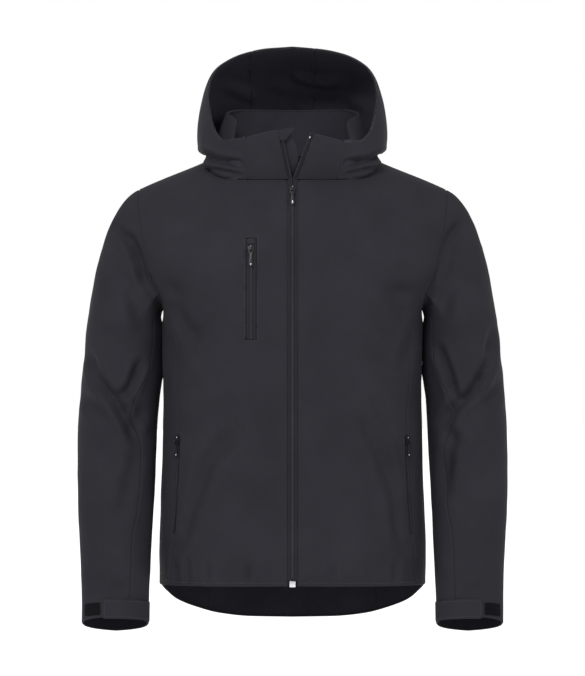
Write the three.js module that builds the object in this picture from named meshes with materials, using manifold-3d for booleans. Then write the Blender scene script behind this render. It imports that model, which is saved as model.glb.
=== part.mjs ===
import * as THREE from 'three';
import { mergeVertices } from 'three/addons/utils/BufferGeometryUtils.js';
import Module from 'manifold-3d';

// Hooded softshell jacket, filled out as if worn. Millimetres, +Z up, the front faces -Y
// and the wearer's left is +X. The origin lies at the base of the neck.

const wasm = await Module();
wasm.setup();

// Cloth and seams
const SHELL = 1.8;
const COLLAR_WALL = 3.4;
const TAB_WALL = 2.2;
const SEAM_HALF = 0.2;
const LAYER_GAP = 0.4;

// Front opening and pockets
const ZIP_HALF = 7.4;
const ZIP_BOTTOM = -652;
const ZIP_SLIDER_Z = -56;
const CHEST_ZIP = { x: -63, top: -130, bottom: -285, width: 15.4, slider: -148 };
const POCKET_ZIP = { top: -431, bottom: -586, half: 3.6, slider: -441 };

// Tables of the body. Each row is one height: half width, depth of front and back from Y 0,
// and the power of the rounded section.
const TORSO = [
  { z: 20, half: 262, front: -126, back: 132, power: 3 },
  { z: -20, half: 262, front: -126, back: 134, power: 3 },
  { z: -60, half: 262, front: -128, back: 134, power: 3 },
  { z: -100, half: 262, front: -131, back: 133, power: 3 },
  { z: -144, half: 250, front: -134, back: 131, power: 2.95 },
  { z: -190, half: 232, front: -136, back: 127, power: 2.9 },
  { z: -215, half: 215, front: -136, back: 125, power: 2.8 },
  { z: -240, half: 203, front: -136, back: 122, power: 2.7 },
  { z: -300, half: 203, front: -133, back: 116, power: 2.6 },
  { z: -350, half: 203, front: -129, back: 111, power: 2.5 },
  { z: -430, half: 204, front: -124, back: 108.5, power: 2.4 },
  { z: -540, half: 207, front: -124, back: 114.5, power: 2.4 },
  { z: -620, half: 210, front: -126, back: 121, power: 2.4 },
  { z: -680, half: 209, front: -127, back: 123, power: 2.4 },
  { z: -740, half: 207, front: -128, back: 124, power: 2.4 },
];
const RIDGE_Y = 15;
const SHOULDER_ROUND = 300;
// Height of the shoulder ridge above each distance from the middle
const RIDGE = [
  { x: 0, z: 43 },
  { x: 18, z: 41 },
  { x: 45, z: 31 },
  { x: 90, z: 13.5 },
  { x: 126, z: -0.5 },
  { x: 153, z: -12 },
  { x: 214, z: -36.5 },
  { x: 242, z: -49 },
  { x: 262, z: -59 },
];
const NECK_X = 126;
const SHOULDER_X = 242;
const FRONT_NECK = { centre: -38.5, power: 4 };
const BACK_NECK_DROP = 37;

// Hem height round the body, by degrees from the front middle
const HEM = [
  { angle: 0, z: -660 },
  { angle: 45, z: -663 },
  { angle: 70, z: -666 },
  { angle: 90, z: -670 },
  { angle: 105, z: -682 },
  { angle: 120, z: -700 },
  { angle: 135, z: -714 },
  { angle: 150, z: -726 },
  { angle: 165, z: -732 },
  { angle: 180, z: -733.5 },
];
// Princess seams: distance from the middle at each height
const FRONT_SEAM = [
  { z: -215, x: 206 },
  { z: -270, x: 188 },
  { z: -340, x: 180 },
  { z: -425, x: 177 },
  { z: -540, x: 181 },
  { z: -620, x: 188 },
  { z: -670, x: 191 },
];
const BACK_SEAM = [
  { z: -195, x: 213 },
  { z: -230, x: 196 },
  { z: -300, x: 178 },
  { z: -400, x: 160 },
  { z: -500, x: 148 },
  { z: -600, x: 138 },
  { z: -720, x: 133 },
];
// Armhole edges above the princess seams
const FRONT_ARMHOLE = [
  { z: -51, x: 242 },
  { z: -80, x: 240.5 },
  { z: -113, x: 236 },
  { z: -144, x: 229 },
  { z: -175, x: 222 },
  { z: -198, x: 215 },
  { z: -215, x: 206 },
];
const BACK_ARMHOLE = [
  { z: -51, x: 242 },
  { z: -90, x: 239 },
  { z: -130, x: 232 },
  { z: -165, x: 224 },
  { z: -195, x: 213 },
];
const UNDERARM_Z = -240;

// Sleeve rings: height, middle, and the half widths across and front to back
const SLEEVE = [
  { z: -262, x: 265.5, y: 12, across: 57.5, deep: 70 },
  { z: -285, x: 265.5, y: 13, across: 60.5, deep: 69 },
  { z: -308, x: 266, y: 14, across: 61.2, deep: 68 },
  { z: -345, x: 268.5, y: 16, across: 63.4, deep: 65 },
  { z: -380, x: 271.8, y: 16, across: 62.4, deep: 62 },
  { z: -430, x: 275, y: 14, across: 62.4, deep: 58 },
  { z: -480, x: 276, y: 6, across: 61.6, deep: 55 },
  { z: -531, x: 276.7, y: -6, across: 59.7, deep: 51 },
  { z: -581, x: 276.3, y: -18, across: 57.5, deep: 47 },
  { z: -631, x: 275.3, y: -31, across: 54.8, deep: 43 },
  { z: -694, x: 274.4, y: -47, across: 52.2, deep: 38 },
  { z: -736, x: 274.3, y: -57.5, across: 52, deep: 36.5 },
];
const SLEEVE_TOP = -262;
// The cuff's edge hangs lower at the back of the arm than at the front
const SLEEVE_END = { front: -719.5, back: -735, hold: 0.6 };
// Sleeve seams, in degrees round the sleeve from its outer side by way of the front
const SLEEVE_SEAM = [
  { z: -235, front: 150, back: 222 },
  { z: -326, front: 136, back: 238 },
  { z: -374, front: 117, back: 243 },
  { z: -403, front: 111, back: 245 },
  { z: -437, front: 123, back: 245 },
  { z: -470, front: 132, back: 245 },
  { z: -552, front: 129, back: 246 },
  { z: -597, front: 121, back: 248 },
  { z: -722, front: 117, back: 248 },
];

// Top edge of the collar, from the wearer's right front round the back to the left front
const COLLAR_TOP = [
  { n: -1, x: -23.5, y: -96, z: 36 },
  { n: -0.9, x: -48, y: -90, z: 31 },
  { n: -0.81, x: -72, y: -79, z: 26 },
  { n: -0.7, x: -94, y: -48, z: 27 },
  { n: -0.58, x: -88, y: -8, z: 57 },
  { n: -0.45, x: -104, y: 28, z: 74 },
  { n: -0.3, x: -86, y: 58, z: 81 },
  { n: -0.15, x: -50, y: 73, z: 82 },
  { n: 0, x: 0, y: 78, z: 82 },
  { n: 0.15, x: 50, y: 73, z: 82 },
  { n: 0.3, x: 86, y: 58, z: 81 },
  { n: 0.45, x: 105, y: 28, z: 73 },
  { n: 0.58, x: 86, y: -8, z: 54 },
  { n: 0.7, x: 93, y: -48, z: 24 },
  { n: 0.81, x: 76, y: -77, z: 20.5 },
  { n: 0.9, x: 56, y: -88, z: 25 },
  { n: 1, x: 33.5, y: -95, z: 30 },
];
const COLLAR_COVER = 0.81;

// Hood stations from the back middle to the front end: the face edge, how far the cloth
// leaves the neck seam outward and up, and how it comes to the face edge
const HOOD = [
  { u: 0, x: 0, y: -10, z: 171.7, out: 112, rise: -98, side: 0, back: 197, up: 34 },
  { u: 0.1, x: 42, y: -10, z: 168.2, out: 107, rise: -90, side: 12, back: 184, up: 32 },
  { u: 0.2, x: 76, y: -8, z: 161.4, out: 94, rise: -70, side: 21, back: 152, up: 25 },
  { u: 0.3, x: 101, y: -5, z: 151, out: 74, rise: -46, side: 24, back: 118, up: 15 },
  { u: 0.4, x: 118, y: -5, z: 138, out: 54, rise: -26, side: 22, back: 84, up: 5 },
  { u: 0.5, x: 128, y: -8, z: 119, out: 39, rise: -14, side: 18, back: 54, up: -5 },
  { u: 0.6, x: 131, y: -15, z: 96, out: 29, rise: -7, side: 15, back: 34, up: -16 },
  { u: 0.7, x: 127, y: -30, z: 66, out: 24, rise: -3, side: 13, back: 22, up: -16 },
  { u: 0.8, x: 118, y: -46, z: 38, out: 20, rise: 0, side: 10, back: 14, up: -12 },
  { u: 0.9, x: 101, y: -62, z: 23, out: 14, rise: 6, side: 8, back: 6, up: -12 },
  { u: 1, x: 74, y: -80, z: 23, out: 4, rise: 20, side: 0, back: 0, up: -18 },
];

// Folds as troughs between two places of the front view. A negative depth is a ridge.
const SLEEVE_FOLDS = [
  { side: -1, x1: 270, z1: -115, x2: 236, z2: -154, depth: 5, width: 15 },
  { side: -1, x1: 236, z1: -154, x2: 222, z2: -195, depth: 4, width: 14 },
  { side: 1, x1: 266, z1: -106, x2: 236, z2: -130, depth: 7, width: 15 },
  { side: 1, x1: 236, z1: -130, x2: 222, z2: -185, depth: 6, width: 15 },
  { side: -1, x1: 313, z1: -312, x2: 274, z2: -376, depth: 4, width: 15 },
  { side: -1, x1: 274, z1: -376, x2: 240, z2: -441, depth: 4, width: 15 },
  { side: -1, x1: 236, z1: -325, x2: 262, z2: -368, depth: 3, width: 14 },
  { side: 1, x1: 310, z1: -270, x2: 298, z2: -325, depth: 3, width: 15 },
  { side: 1, x1: 298, z1: -325, x2: 245, z2: -387, depth: 5, width: 15 },
  { side: 1, x1: 225, z1: -301, x2: 250, z2: -371, depth: 4, width: 14 },
];
const BODY_FOLDS = [
  { side: -1, x1: 88, z1: -423, x2: 130, z2: -472, depth: 2.5, width: 20 },
  { side: -1, x1: 130, z1: -472, x2: 176, z2: -590, depth: 3, width: 18 },
  { side: 1, x1: 107, z1: -406, x2: 155, z2: -508, depth: 3, width: 19 },
  { side: 1, x1: 155, z1: -508, x2: 165, z2: -602, depth: 2.5, width: 18 },
  { side: -1, x1: 176, z1: -246, x2: 160, z2: -270, depth: 3, width: 17 },
  { side: 1, x1: 187, z1: -222, x2: 160, z2: -214, depth: 3, width: 17 },
];

// Grid steps of the panels, as shares of the height below the armhole
const LOWER_ROWS = [0, 0.08, 0.163, 0.18, 0.27, 0.36, 0.44, 0.522, 0.539, 0.63, 0.72, 0.81, 0.9, 1];
const UPPER_STEPS = 8;
const RIDGE_EASE = 1.6;
const CAP_STEPS = 7;
const ARM_ROWS = [0, 0.05, 0.1, 0.165, 0.23, 0.29, 0.36, 0.44, 0.52, 0.62, 0.72, 0.82, 0.91, 1];
// Places round the neck seam, 0 at the back middle and 1 at the zip
const NECK_SHOULDER = 0.445;
const FRONT_NECK_STOPS = [1, 0.936, 0.872, 0.81, 0.737, 0.664, 0.591, 0.518, NECK_SHOULDER];
const BACK_NECK_STOPS = [0, 0.062, 0.126, 0.23, 0.34, NECK_SHOULDER];
// The front neck seam bends up towards the shoulder at one of its stops
const CHEST_COLUMNS = 5;
const CHEST_NECK_STOPS = FRONT_NECK_STOPS.slice(0, CHEST_COLUMNS + 1);
const SIDE_NECK_STOPS = FRONT_NECK_STOPS.slice(CHEST_COLUMNS);
const NECK_BEND = FRONT_NECK_STOPS[CHEST_COLUMNS];
const CHEST_SHARE = 0.58;
const SHOULDER_COLUMNS = 5;
const ARMHOLE_BEND_ROW = UPPER_STEPS - SIDE_NECK_STOPS.length + 1;
const BACK_SHOULDER_STEPS = 3;
const UNDERARM_STEPS = 8;
const COLLAR_STEPS = 5;
const HOOD_STEPS = 12;

const vec = (x, y, z) => new THREE.Vector3(x, y, z);
const mix = (a, b, t) => a + (b - a) * t;
const clamp = (value, low, high) => Math.min(Math.max(value, low), high);
const X_AXIS = vec(1, 0, 0);

function smoothStep(value) {
  const t = clamp(value, 0, 1);
  return t * t * (3 - 2 * t);
}

function evenSteps(count, from = 0, to = 1) {
  return Array.from({ length: count + 1 }, (_, i) => mix(from, to, i / count));
}

// Value between the entries of a list at a place that need not be whole
function pick(list, place) {
  const i = clamp(Math.floor(place), 0, list.length - 2);
  return mix(list[i], list[i + 1], place - i);
}

// Smooth curve through one column of a table, without overshoot, held level past its ends
function track(table, key, column) {
  const rows = [...table].sort((a, b) => a[key] - b[key]);
  const steps = rows.slice(1).map((row, i) => (row[column] - rows[i][column]) / (row[key] - rows[i][key]));
  const slopes = rows.map((_, i) => {
    if (i === 0) return steps[0];
    if (i === rows.length - 1) return steps[i - 1];
    const product = steps[i - 1] * steps[i];
    return product > 0 ? (2 * product) / (steps[i - 1] + steps[i]) : 0;
  });
  return (value) => {
    const at = clamp(value, rows[0][key], rows[rows.length - 1][key]);
    let i = 0;
    while (i < rows.length - 2 && rows[i + 1][key] < at) i += 1;
    const span = rows[i + 1][key] - rows[i][key];
    const t = (at - rows[i][key]) / span;
    const start = rows[i][column] * (1 + 2 * t) * (1 - t) ** 2 + slopes[i] * span * t * (1 - t) ** 2;
    const end = rows[i + 1][column] * t * t * (3 - 2 * t) + slopes[i + 1] * span * t * t * (t - 1);
    return start + end;
  };
}

function tracks(table, key, columns) {
  return Object.fromEntries(columns.map((column) => [column, track(table, key, column)]));
}

const torso = tracks(TORSO, 'z', ['half', 'front', 'back', 'power']);
const sleeve = tracks(SLEEVE, 'z', ['x', 'y', 'across', 'deep']);
const sleeveSeam = tracks(SLEEVE_SEAM, 'z', ['front', 'back']);
const collarTop = tracks(COLLAR_TOP, 'n', ['x', 'y', 'z']);
const hood = tracks(HOOD, 'u', ['x', 'y', 'z', 'out', 'rise', 'side', 'back', 'up']);
const ridgeZ = track(RIDGE, 'x', 'z');
const hemByAngle = track(HEM, 'angle', 'z');
const frontSeamX = track(FRONT_SEAM, 'z', 'x');
const backSeamX = track(BACK_SEAM, 'z', 'x');
const frontArmholeX = track(FRONT_ARMHOLE, 'z', 'x');
const backArmholeX = track(BACK_ARMHOLE, 'z', 'x');
const FRONT_JOINT_Z = FRONT_SEAM[0].z;
const BACK_JOINT_Z = BACK_SEAM[0].z;
const SHOULDER_Z = ridgeZ(SHOULDER_X);

// Deepest trough, or else the highest ridge, at a place of the front view
function foldDepth(folds, side, x, z) {
  let trough = 0;
  let ridge = 0;
  for (const fold of folds) {
    if (fold.side !== side) continue;
    const dx = fold.x2 - fold.x1;
    const dz = fold.z2 - fold.z1;
    const along = clamp(((x - fold.x1) * dx + (z - fold.z1) * dz) / (dx * dx + dz * dz), 0, 1);
    const away = Math.hypot(x - fold.x1 - along * dx, z - fold.z1 - along * dz);
    const height = fold.depth * Math.exp(-((away / fold.width) ** 2));
    trough = Math.max(trough, height);
    ridge = Math.min(ridge, height);
  }
  return trough + ridge;
}

// The turn runs from 0 at the front middle by 1 at the side to 2 at the back middle
const TURN_POWER = 1.25;

function turnToAngle(turn) {
  const part = turn <= 1 ? turn : 2 - turn;
  const share = part ** TURN_POWER / (part ** TURN_POWER + (1 - part) ** TURN_POWER);
  const angle = (Math.PI / 2) * share;
  return turn <= 1 ? angle : Math.PI - angle;
}

function turnAt(x, z, isBack = false) {
  const sine = Math.min(1, (Math.abs(x) / torso.half(z)) ** (torso.power(z) / 2));
  const share = Math.asin(sine) / (Math.PI / 2);
  const turn = share <= 0 ? 0 : 1 / (1 + ((1 - share) / share) ** (1 / TURN_POWER));
  return isBack ? 2 - turn : turn;
}

function plainTorso(turn, z) {
  const angle = turnToAngle(turn);
  const power = 2 / torso.power(z);
  const x = torso.half(z) * Math.sin(angle) ** power;
  const cosine = Math.cos(angle);
  const below = clamp(ridgeZ(x) - z, 0, SHOULDER_ROUND);
  const rise = Math.sqrt(1 - (1 - below / SHOULDER_ROUND) ** 2);
  const reach = (cosine >= 0 ? torso.front(z) : torso.back(z)) - RIDGE_Y;
  return vec(x, RIDGE_Y + reach * Math.abs(cosine) ** power * rise, z);
}

function surfaceNormal(surface, a, b, stepA, stepB) {
  const alongA = surface(a + stepA, b).sub(surface(a - stepA, b));
  const alongB = surface(a, b + stepB).sub(surface(a, b - stepB));
  return alongA.cross(alongB).normalize();
}

function foldedTorso(side, turn, z) {
  const place = plainTorso(turn, z);
  if (turn > 0.95 || z > FRONT_JOINT_Z + 30) return place;
  const depth = foldDepth(BODY_FOLDS, side, place.x, z) * smoothStep((0.95 - turn) / 0.3);
  const fade = smoothStep((FRONT_JOINT_Z + 30 - z) / 30);
  const normal = surfaceNormal(plainTorso, clamp(turn, 0.002, 1.998), z, 0.001, 0.4);
  return place.addScaledVector(normal, -depth * fade);
}

function torsoNormal(side, turn, z) {
  const { x } = plainTorso(turn, z);
  if (ridgeZ(x) - z < 1.5) {
    const slope = (ridgeZ(x + 1) - ridgeZ(x - 1)) / 2;
    return vec(-slope, 0, 1).normalize();
  }
  const surface = (a, b) => foldedTorso(side, a, b);
  return surfaceNormal(surface, clamp(turn, 0.004, 1.996), z, 0.003, 0.7);
}

function hemZ(turn) {
  return hemByAngle(THREE.MathUtils.radToDeg(turnToAngle(turn)));
}

// Place between four edges, each a function that gives turn and height
function patch({ bottom, top, left, right }) {
  return (u, v) => [0, 1].map((k) => {
    const sides = mix(left(v)[k], right(v)[k], u);
    const ends = mix(bottom(u)[k], top(u)[k], v);
    const plain = mix(mix(bottom(0)[k], bottom(1)[k], u), mix(top(0)[k], top(1)[k], u), v);
    return sides + ends - plain;
  });
}

// Value of a curve's parameter at each share of its length
function byLength(curve, from, to, samples = 240) {
  const values = evenSteps(samples, from, to);
  const lengths = [0];
  for (let i = 1; i <= samples; i += 1) {
    lengths.push(lengths[i - 1] + curve(values[i]).distanceTo(curve(values[i - 1])));
  }
  return (share) => {
    const target = share * lengths[samples];
    let i = 1;
    while (i < samples && lengths[i] < target) i += 1;
    return mix(values[i - 1], values[i], (target - lengths[i - 1]) / (lengths[i] - lengths[i - 1]));
  };
}

// Neck seam as turn and height: 0 at the back middle, 1 at the shoulder, 2 at the zip
function neckCurve(t) {
  if (t < 1) {
    const x = NECK_X * Math.sin((t * Math.PI) / 2);
    const z = ridgeZ(x) - BACK_NECK_DROP * Math.cos((t * Math.PI) / 2) ** 2;
    return [turnAt(x, z, true), z];
  }
  const power = 2 / FRONT_NECK.power;
  const start = Math.asin((ZIP_HALF / NECK_X) ** (1 / power));
  const angle = mix(Math.PI / 2, start, (t - 1) ** 2);
  const x = NECK_X * Math.sin(angle) ** power;
  const z = mix(FRONT_NECK.centre, ridgeZ(NECK_X), 1 - Math.cos(angle) ** power);
  return [turnAt(x, z), z];
}

const neckPoint = (t) => plainTorso(...neckCurve(t));
const backNeckShare = byLength(neckPoint, 0, 1);
const frontNeckShare = byLength(neckPoint, 1, 2);

// Neck seam at a share of its length, 0 at the back middle and 1 at the zip
function neckPlace(n) {
  if (n < NECK_SHOULDER) return neckCurve(backNeckShare(n / NECK_SHOULDER));
  return neckCurve(frontNeckShare((n - NECK_SHOULDER) / (1 - NECK_SHOULDER)));
}

// Armhole as turn and height: 0 at the shoulder, 1 at the front princess seam,
// 2 under the arm, 3 at the back princess seam and 4 at the shoulder again
function armholePlace(a) {
  if (a < 1) {
    const z = mix(SHOULDER_Z, FRONT_JOINT_Z, a);
    return [turnAt(frontArmholeX(z), z), z];
  }
  if (a > 3) {
    const z = mix(BACK_JOINT_Z, SHOULDER_Z, a - 3);
    return [turnAt(backArmholeX(z), z, true), z];
  }
  const isBack = a > 2;
  const jointZ = isBack ? BACK_JOINT_Z : FRONT_JOINT_Z;
  const joint = isBack
    ? turnAt(BACK_SEAM[0].x, BACK_JOINT_Z, true)
    : turnAt(FRONT_SEAM[0].x, FRONT_JOINT_Z);
  const away = Math.abs(a - 2);
  return [mix(1, joint, away), UNDERARM_Z + (jointZ - UNDERARM_Z) * away ** 1.6];
}

const hemToJoint = (x, jointZ, isBack) => (v) => {
  let z = isBack ? -716 : -667;
  for (let i = 0; i < 4; i += 1) z = hemZ(turnAt(x(z), z, isBack));
  const height = mix(z, jointZ, v);
  return [turnAt(x(height), height, isBack), height];
};
const frontPrincess = hemToJoint(frontSeamX, FRONT_JOINT_Z, false);
const backPrincess = hemToJoint(backSeamX, BACK_JOINT_Z, true);

const zipEdge = (bottom, top) => (v) => {
  const z = mix(bottom, top, v);
  return [turnAt(ZIP_HALF, z), z];
};
const backMiddle = (bottom, top) => (v) => [2, mix(bottom, top, v)];

// Straight run of turn and height between two places, with the hem followed where asked
function rowBetween(start, end) {
  return (u) => [mix(start[0], end[0], u), mix(start[1], end[1], u)];
}
function hemBetween(start, end) {
  return (u) => {
    const turn = mix(start[0], end[0], u);
    return [turn, hemZ(turn)];
  };
}

// Upper panels are laid out by turn and by the root of the depth below the shoulder ridge,
// which runs evenly over the round of the shoulder
function toDepth([turn, z]) {
  return [turn, Math.sqrt(Math.max(0, ridgeZ(plainTorso(turn, z).x) - z))];
}
function fromDepth([turn, depth]) {
  let z = SHOULDER_Z - depth * depth;
  for (let i = 0; i < 12; i += 1) z = ridgeZ(plainTorso(turn, z).x) - depth * depth;
  return [turn, z];
}
function upperPatch(edges) {
  const bent = Object.entries(edges).map(([name, edge]) => [name, (t) => toDepth(edge(t))]);
  const area = patch(Object.fromEntries(bent));
  return (u, v) => {
    const [turn, depth] = area(u, v);
    return fromDepth([turn, Math.max(depth, 0)]);
  };
}

const neckRun = (stops) => (t) => neckPlace(pick(stops, t * (stops.length - 1)));
const shoulderRun = (isBack) => (t) => {
  const x = mix(NECK_X, SHOULDER_X, t);
  return [turnAt(x, ridgeZ(x), isBack), ridgeZ(x)];
};
const chained = (first, second, share) => (t) => {
  if (t < share) return first(t / share);
  return second((t - share) / (1 - share));
};

const frontCorner = frontPrincess(1);
const backCorner = backPrincess(1);
const zipJoint = zipEdge(FRONT_JOINT_Z, 0)(0);
const chestMiddle = rowBetween(zipJoint, frontCorner)(CHEST_SHARE);
const NECK_BEND_PLACE = neckPlace(NECK_BEND);
const armholeBend = ARMHOLE_BEND_ROW / UPPER_STEPS;
const armholeRise = (t) => armholePlace((1 - t) ** RIDGE_EASE);
const neckTurn = (t) => mix(chestMiddle[0], NECK_BEND_PLACE[0], t);
const bendDepth = (t) => mix(toDepth(chestMiddle)[1], toDepth(NECK_BEND_PLACE)[1], t);
const bendLine = (t) => fromDepth([neckTurn(t), bendDepth(t)]);
const shoulderLine = (t) => {
  const [start, end] = [toDepth(NECK_BEND_PLACE), toDepth(armholeRise(armholeBend))];
  return fromDepth([mix(start[0], end[0], t), mix(start[1], end[1], t)]);
};
const BACK_SHARE = (BACK_NECK_STOPS.length - 1) / (BACK_NECK_STOPS.length - 1 + BACK_SHOULDER_STEPS);
const PATCHES = {
  frontLower: patch({
    bottom: hemBetween(zipEdge(HEM[0].z, 0)(0), frontPrincess(0)),
    top: rowBetween(zipJoint, frontCorner),
    left: zipEdge(hemZ(zipEdge(HEM[0].z, 0)(0)[0]), FRONT_JOINT_Z),
    right: frontPrincess,
  }),
  chest: upperPatch({
    bottom: rowBetween(zipJoint, chestMiddle),
    top: neckRun(CHEST_NECK_STOPS),
    left: zipEdge(FRONT_JOINT_Z, FRONT_NECK.centre),
    right: bendLine,
  }),
  armSide: upperPatch({
    bottom: rowBetween(chestMiddle, frontCorner),
    top: shoulderLine,
    left: bendLine,
    right: (v) => armholeRise(v * armholeBend),
  }),
  shoulder: upperPatch({
    bottom: shoulderLine,
    top: shoulderRun(false),
    left: neckRun(SIDE_NECK_STOPS),
    right: (v) => armholeRise(mix(armholeBend, 1, v)),
  }),
  side: patch({
    bottom: hemBetween(frontPrincess(0), backPrincess(0)),
    top: (u) => armholePlace(1 + 2 * u),
    left: frontPrincess,
    right: backPrincess,
  }),
  backLower: patch({
    bottom: hemBetween([2, 0], backPrincess(0)),
    top: rowBetween([2, BACK_JOINT_Z], backCorner),
    left: backMiddle(hemZ(2), BACK_JOINT_Z),
    right: backPrincess,
  }),
  backUpper: upperPatch({
    bottom: rowBetween([2, BACK_JOINT_Z], backCorner),
    top: chained(neckRun(BACK_NECK_STOPS), shoulderRun(true), BACK_SHARE),
    left: backMiddle(BACK_JOINT_Z, neckPlace(0)[1]),
    right: (v) => armholePlace(4 - (1 - v) ** RIDGE_EASE),
  }),
};

// Grids hold columns of points with their outward normals
function makeGrid(columns, rows, place) {
  return columns.map((column) => rows.map((row) => place(column, row)));
}

function mirrorNode({ point, normal }, side) {
  return side > 0
    ? { point: point.clone(), normal: normal.clone() }
    : { point: vec(-point.x, point.y, point.z), normal: vec(-normal.x, normal.y, normal.z) };
}

function torsoNode(side, [turn, z]) {
  const node = { point: foldedTorso(side, turn, z), normal: torsoNormal(side, turn, z) };
  if (turn >= 2) node.point.x = 0;
  return mirrorNode(node, side);
}

function bodyGrid(side, steps, lower, upper = null) {
  const upperRows = upper ? evenSteps(UPPER_STEPS).slice(1) : [];
  const rows = [...LOWER_ROWS.map((v) => [lower, v]), ...upperRows.map((v) => [upper, v])];
  return makeGrid(evenSteps(steps), rows, (u, [area, v]) => torsoNode(side, area(u, v)));
}

// Front panel: the chest block stops at the neck seam, so its columns have no shoulder rows
function frontGrid(side) {
  const columns = evenSteps(CHEST_COLUMNS + SHOULDER_COLUMNS);
  return columns.map((u, i) => {
    const isChest = i < CHEST_COLUMNS;
    const lower = LOWER_ROWS.map((v) => PATCHES.frontLower(columnShare(i), v));
    const across = isChest ? i / CHEST_COLUMNS : (i - CHEST_COLUMNS) / SHOULDER_COLUMNS;
    const area = isChest ? PATCHES.chest : PATCHES.armSide;
    const upper = evenSteps(ARMHOLE_BEND_ROW).slice(1).map((v) => area(across, v));
    const top = evenSteps(UPPER_STEPS - ARMHOLE_BEND_ROW).slice(1)
      .map((v) => (isChest ? null : PATCHES.shoulder(across, v)));
    return [...lower, ...upper, ...top].map((place) => place && torsoNode(side, place));
  });
}

// Share of the front's width at each column, wider over the chest than by the armhole
function columnShare(i) {
  if (i <= CHEST_COLUMNS) return (CHEST_SHARE * i) / CHEST_COLUMNS;
  return mix(CHEST_SHARE, 1, (i - CHEST_COLUMNS) / SHOULDER_COLUMNS);
}

// Normals of a grid from its own points, turned to the side that the guide names
function gridNormals(points, guide, isLoop = false) {
  const count = points.length;
  const last = points[0].length - 1;
  return points.map((column, i) => column.map((_, j) => {
    const next = isLoop ? (i + 1) % (count - 1) : Math.min(i + 1, count - 1);
    const before = isLoop ? (i + count - 2) % (count - 1) : Math.max(i - 1, 0);
    const across = points[next][j].clone().sub(points[before][j]);
    const up = column[Math.min(j + 1, last)].clone().sub(column[Math.max(j - 1, 0)]);
    const normal = across.cross(up).normalize();
    return normal.dot(guide(i, j)) < 0 ? normal.negate() : normal;
  }));
}

// Faces of a grid, which may lack the nodes of a corner block
function gridQuads(grid) {
  const quads = [];
  for (let i = 0; i < grid.length - 1; i += 1) {
    for (let j = 0; j < grid[0].length - 1; j += 1) {
      const corners = [[i, j], [i + 1, j], [i + 1, j + 1], [i, j + 1]];
      if (corners.every(([a, b]) => grid[a][b])) quads.push(corners);
    }
  }
  return quads;
}

function borderEdges(quads) {
  const edges = new Map();
  for (const corners of quads) {
    corners.forEach((start, k) => {
      const end = corners[(k + 1) % 4];
      edges.set(`${start}>${end}`, [start, end]);
    });
  }
  return [...edges.values()].filter(([start, end]) => !edges.has(`${end}>${start}`));
}

// Pulls the edges of a grid back along its surface by the given distances
function insetGrid(grid, edges) {
  const lastColumn = grid.length - 1;
  const edgeName = ([i, j], [k, l]) => {
    if (i === k && i === 0) return 'left';
    if (i === k && i === lastColumn) return 'right';
    return j === l && j === 0 ? 'bottom' : 'top';
  };
  const quads = gridQuads(grid);
  const centre = quads[Math.floor(quads.length / 2)].map(([i, j]) => grid[i][j]);
  const facing = centre[1].point.clone().sub(centre[0].point)
    .cross(centre[3].point.clone().sub(centre[0].point)).dot(centre[0].normal);
  const pulls = new Map();
  for (const [start, end] of borderEdges(quads)) {
    const edge = edges[edgeName(start, end)] ?? 0;
    const along = grid[end[0]][end[1]].point.clone().sub(grid[start[0]][start[1]].point);
    for (const place of [start, end]) {
      const inward = grid[place[0]][place[1]].normal.clone().cross(along).normalize();
      const distance = typeof edge === 'function' ? edge(place[1]) : edge;
      const known = pulls.get(`${place}`) ?? [];
      known.push({ inward: facing < 0 ? inward.negate() : inward, distance });
      pulls.set(`${place}`, known);
    }
  }
  return grid.map((column, i) => column.map((node, j) => {
    const known = pulls.get(`${[i, j]}`);
    if (!node || !known) return node;
    const point = node.point.clone();
    const share = known[0].inward.dot(known[1].inward) > 0.5 ? 0.5 : 1;
    for (const { inward, distance } of known) point.addScaledVector(inward, distance * share);
    return { ...node, point };
  }));
}

// Turns the faces outward and drops all but positions
function solid(positions, triangles) {
  let volume = 0;
  for (const [a, b, c] of triangles) {
    volume += positions[a].dot(positions[b].clone().cross(positions[c]));
  }
  const index = triangles.flatMap(([a, b, c]) => (volume < 0 ? [a, c, b] : [a, b, c]));
  const geometry = new THREE.BufferGeometry();
  const numbers = positions.flatMap((p) => [p.x, p.y, p.z]);
  geometry.setAttribute('position', new THREE.Float32BufferAttribute(numbers, 3));
  geometry.setIndex(index);
  geometry.computeVertexNormals();
  return geometry;
}

// Closed wall over a grid, between two distances along its normals
function wall(grid, outer, inner) {
  const places = grid.flatMap((column, i) => column.flatMap((node, j) => (node ? [[i, j]] : [])));
  const order = new Map(places.map((place, index) => [`${place}`, index]));
  const positions = [outer, inner].flatMap((distance) => places.map(([i, j]) =>
    grid[i][j].point.clone().addScaledVector(grid[i][j].normal, distance)));
  const at = (layer, place) => layer * places.length + order.get(`${place}`);
  const triangles = [];
  const quads = gridQuads(grid);
  for (const [a, b, c, d] of quads) {
    triangles.push([at(0, a), at(0, b), at(0, c)], [at(0, a), at(0, c), at(0, d)]);
    triangles.push([at(1, a), at(1, c), at(1, b)], [at(1, a), at(1, d), at(1, c)]);
  }
  for (const [start, end] of borderEdges(quads)) {
    triangles.push([at(0, end), at(0, start), at(1, start)], [at(0, end), at(1, start), at(1, end)]);
  }
  return solid(positions, triangles);
}

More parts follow.
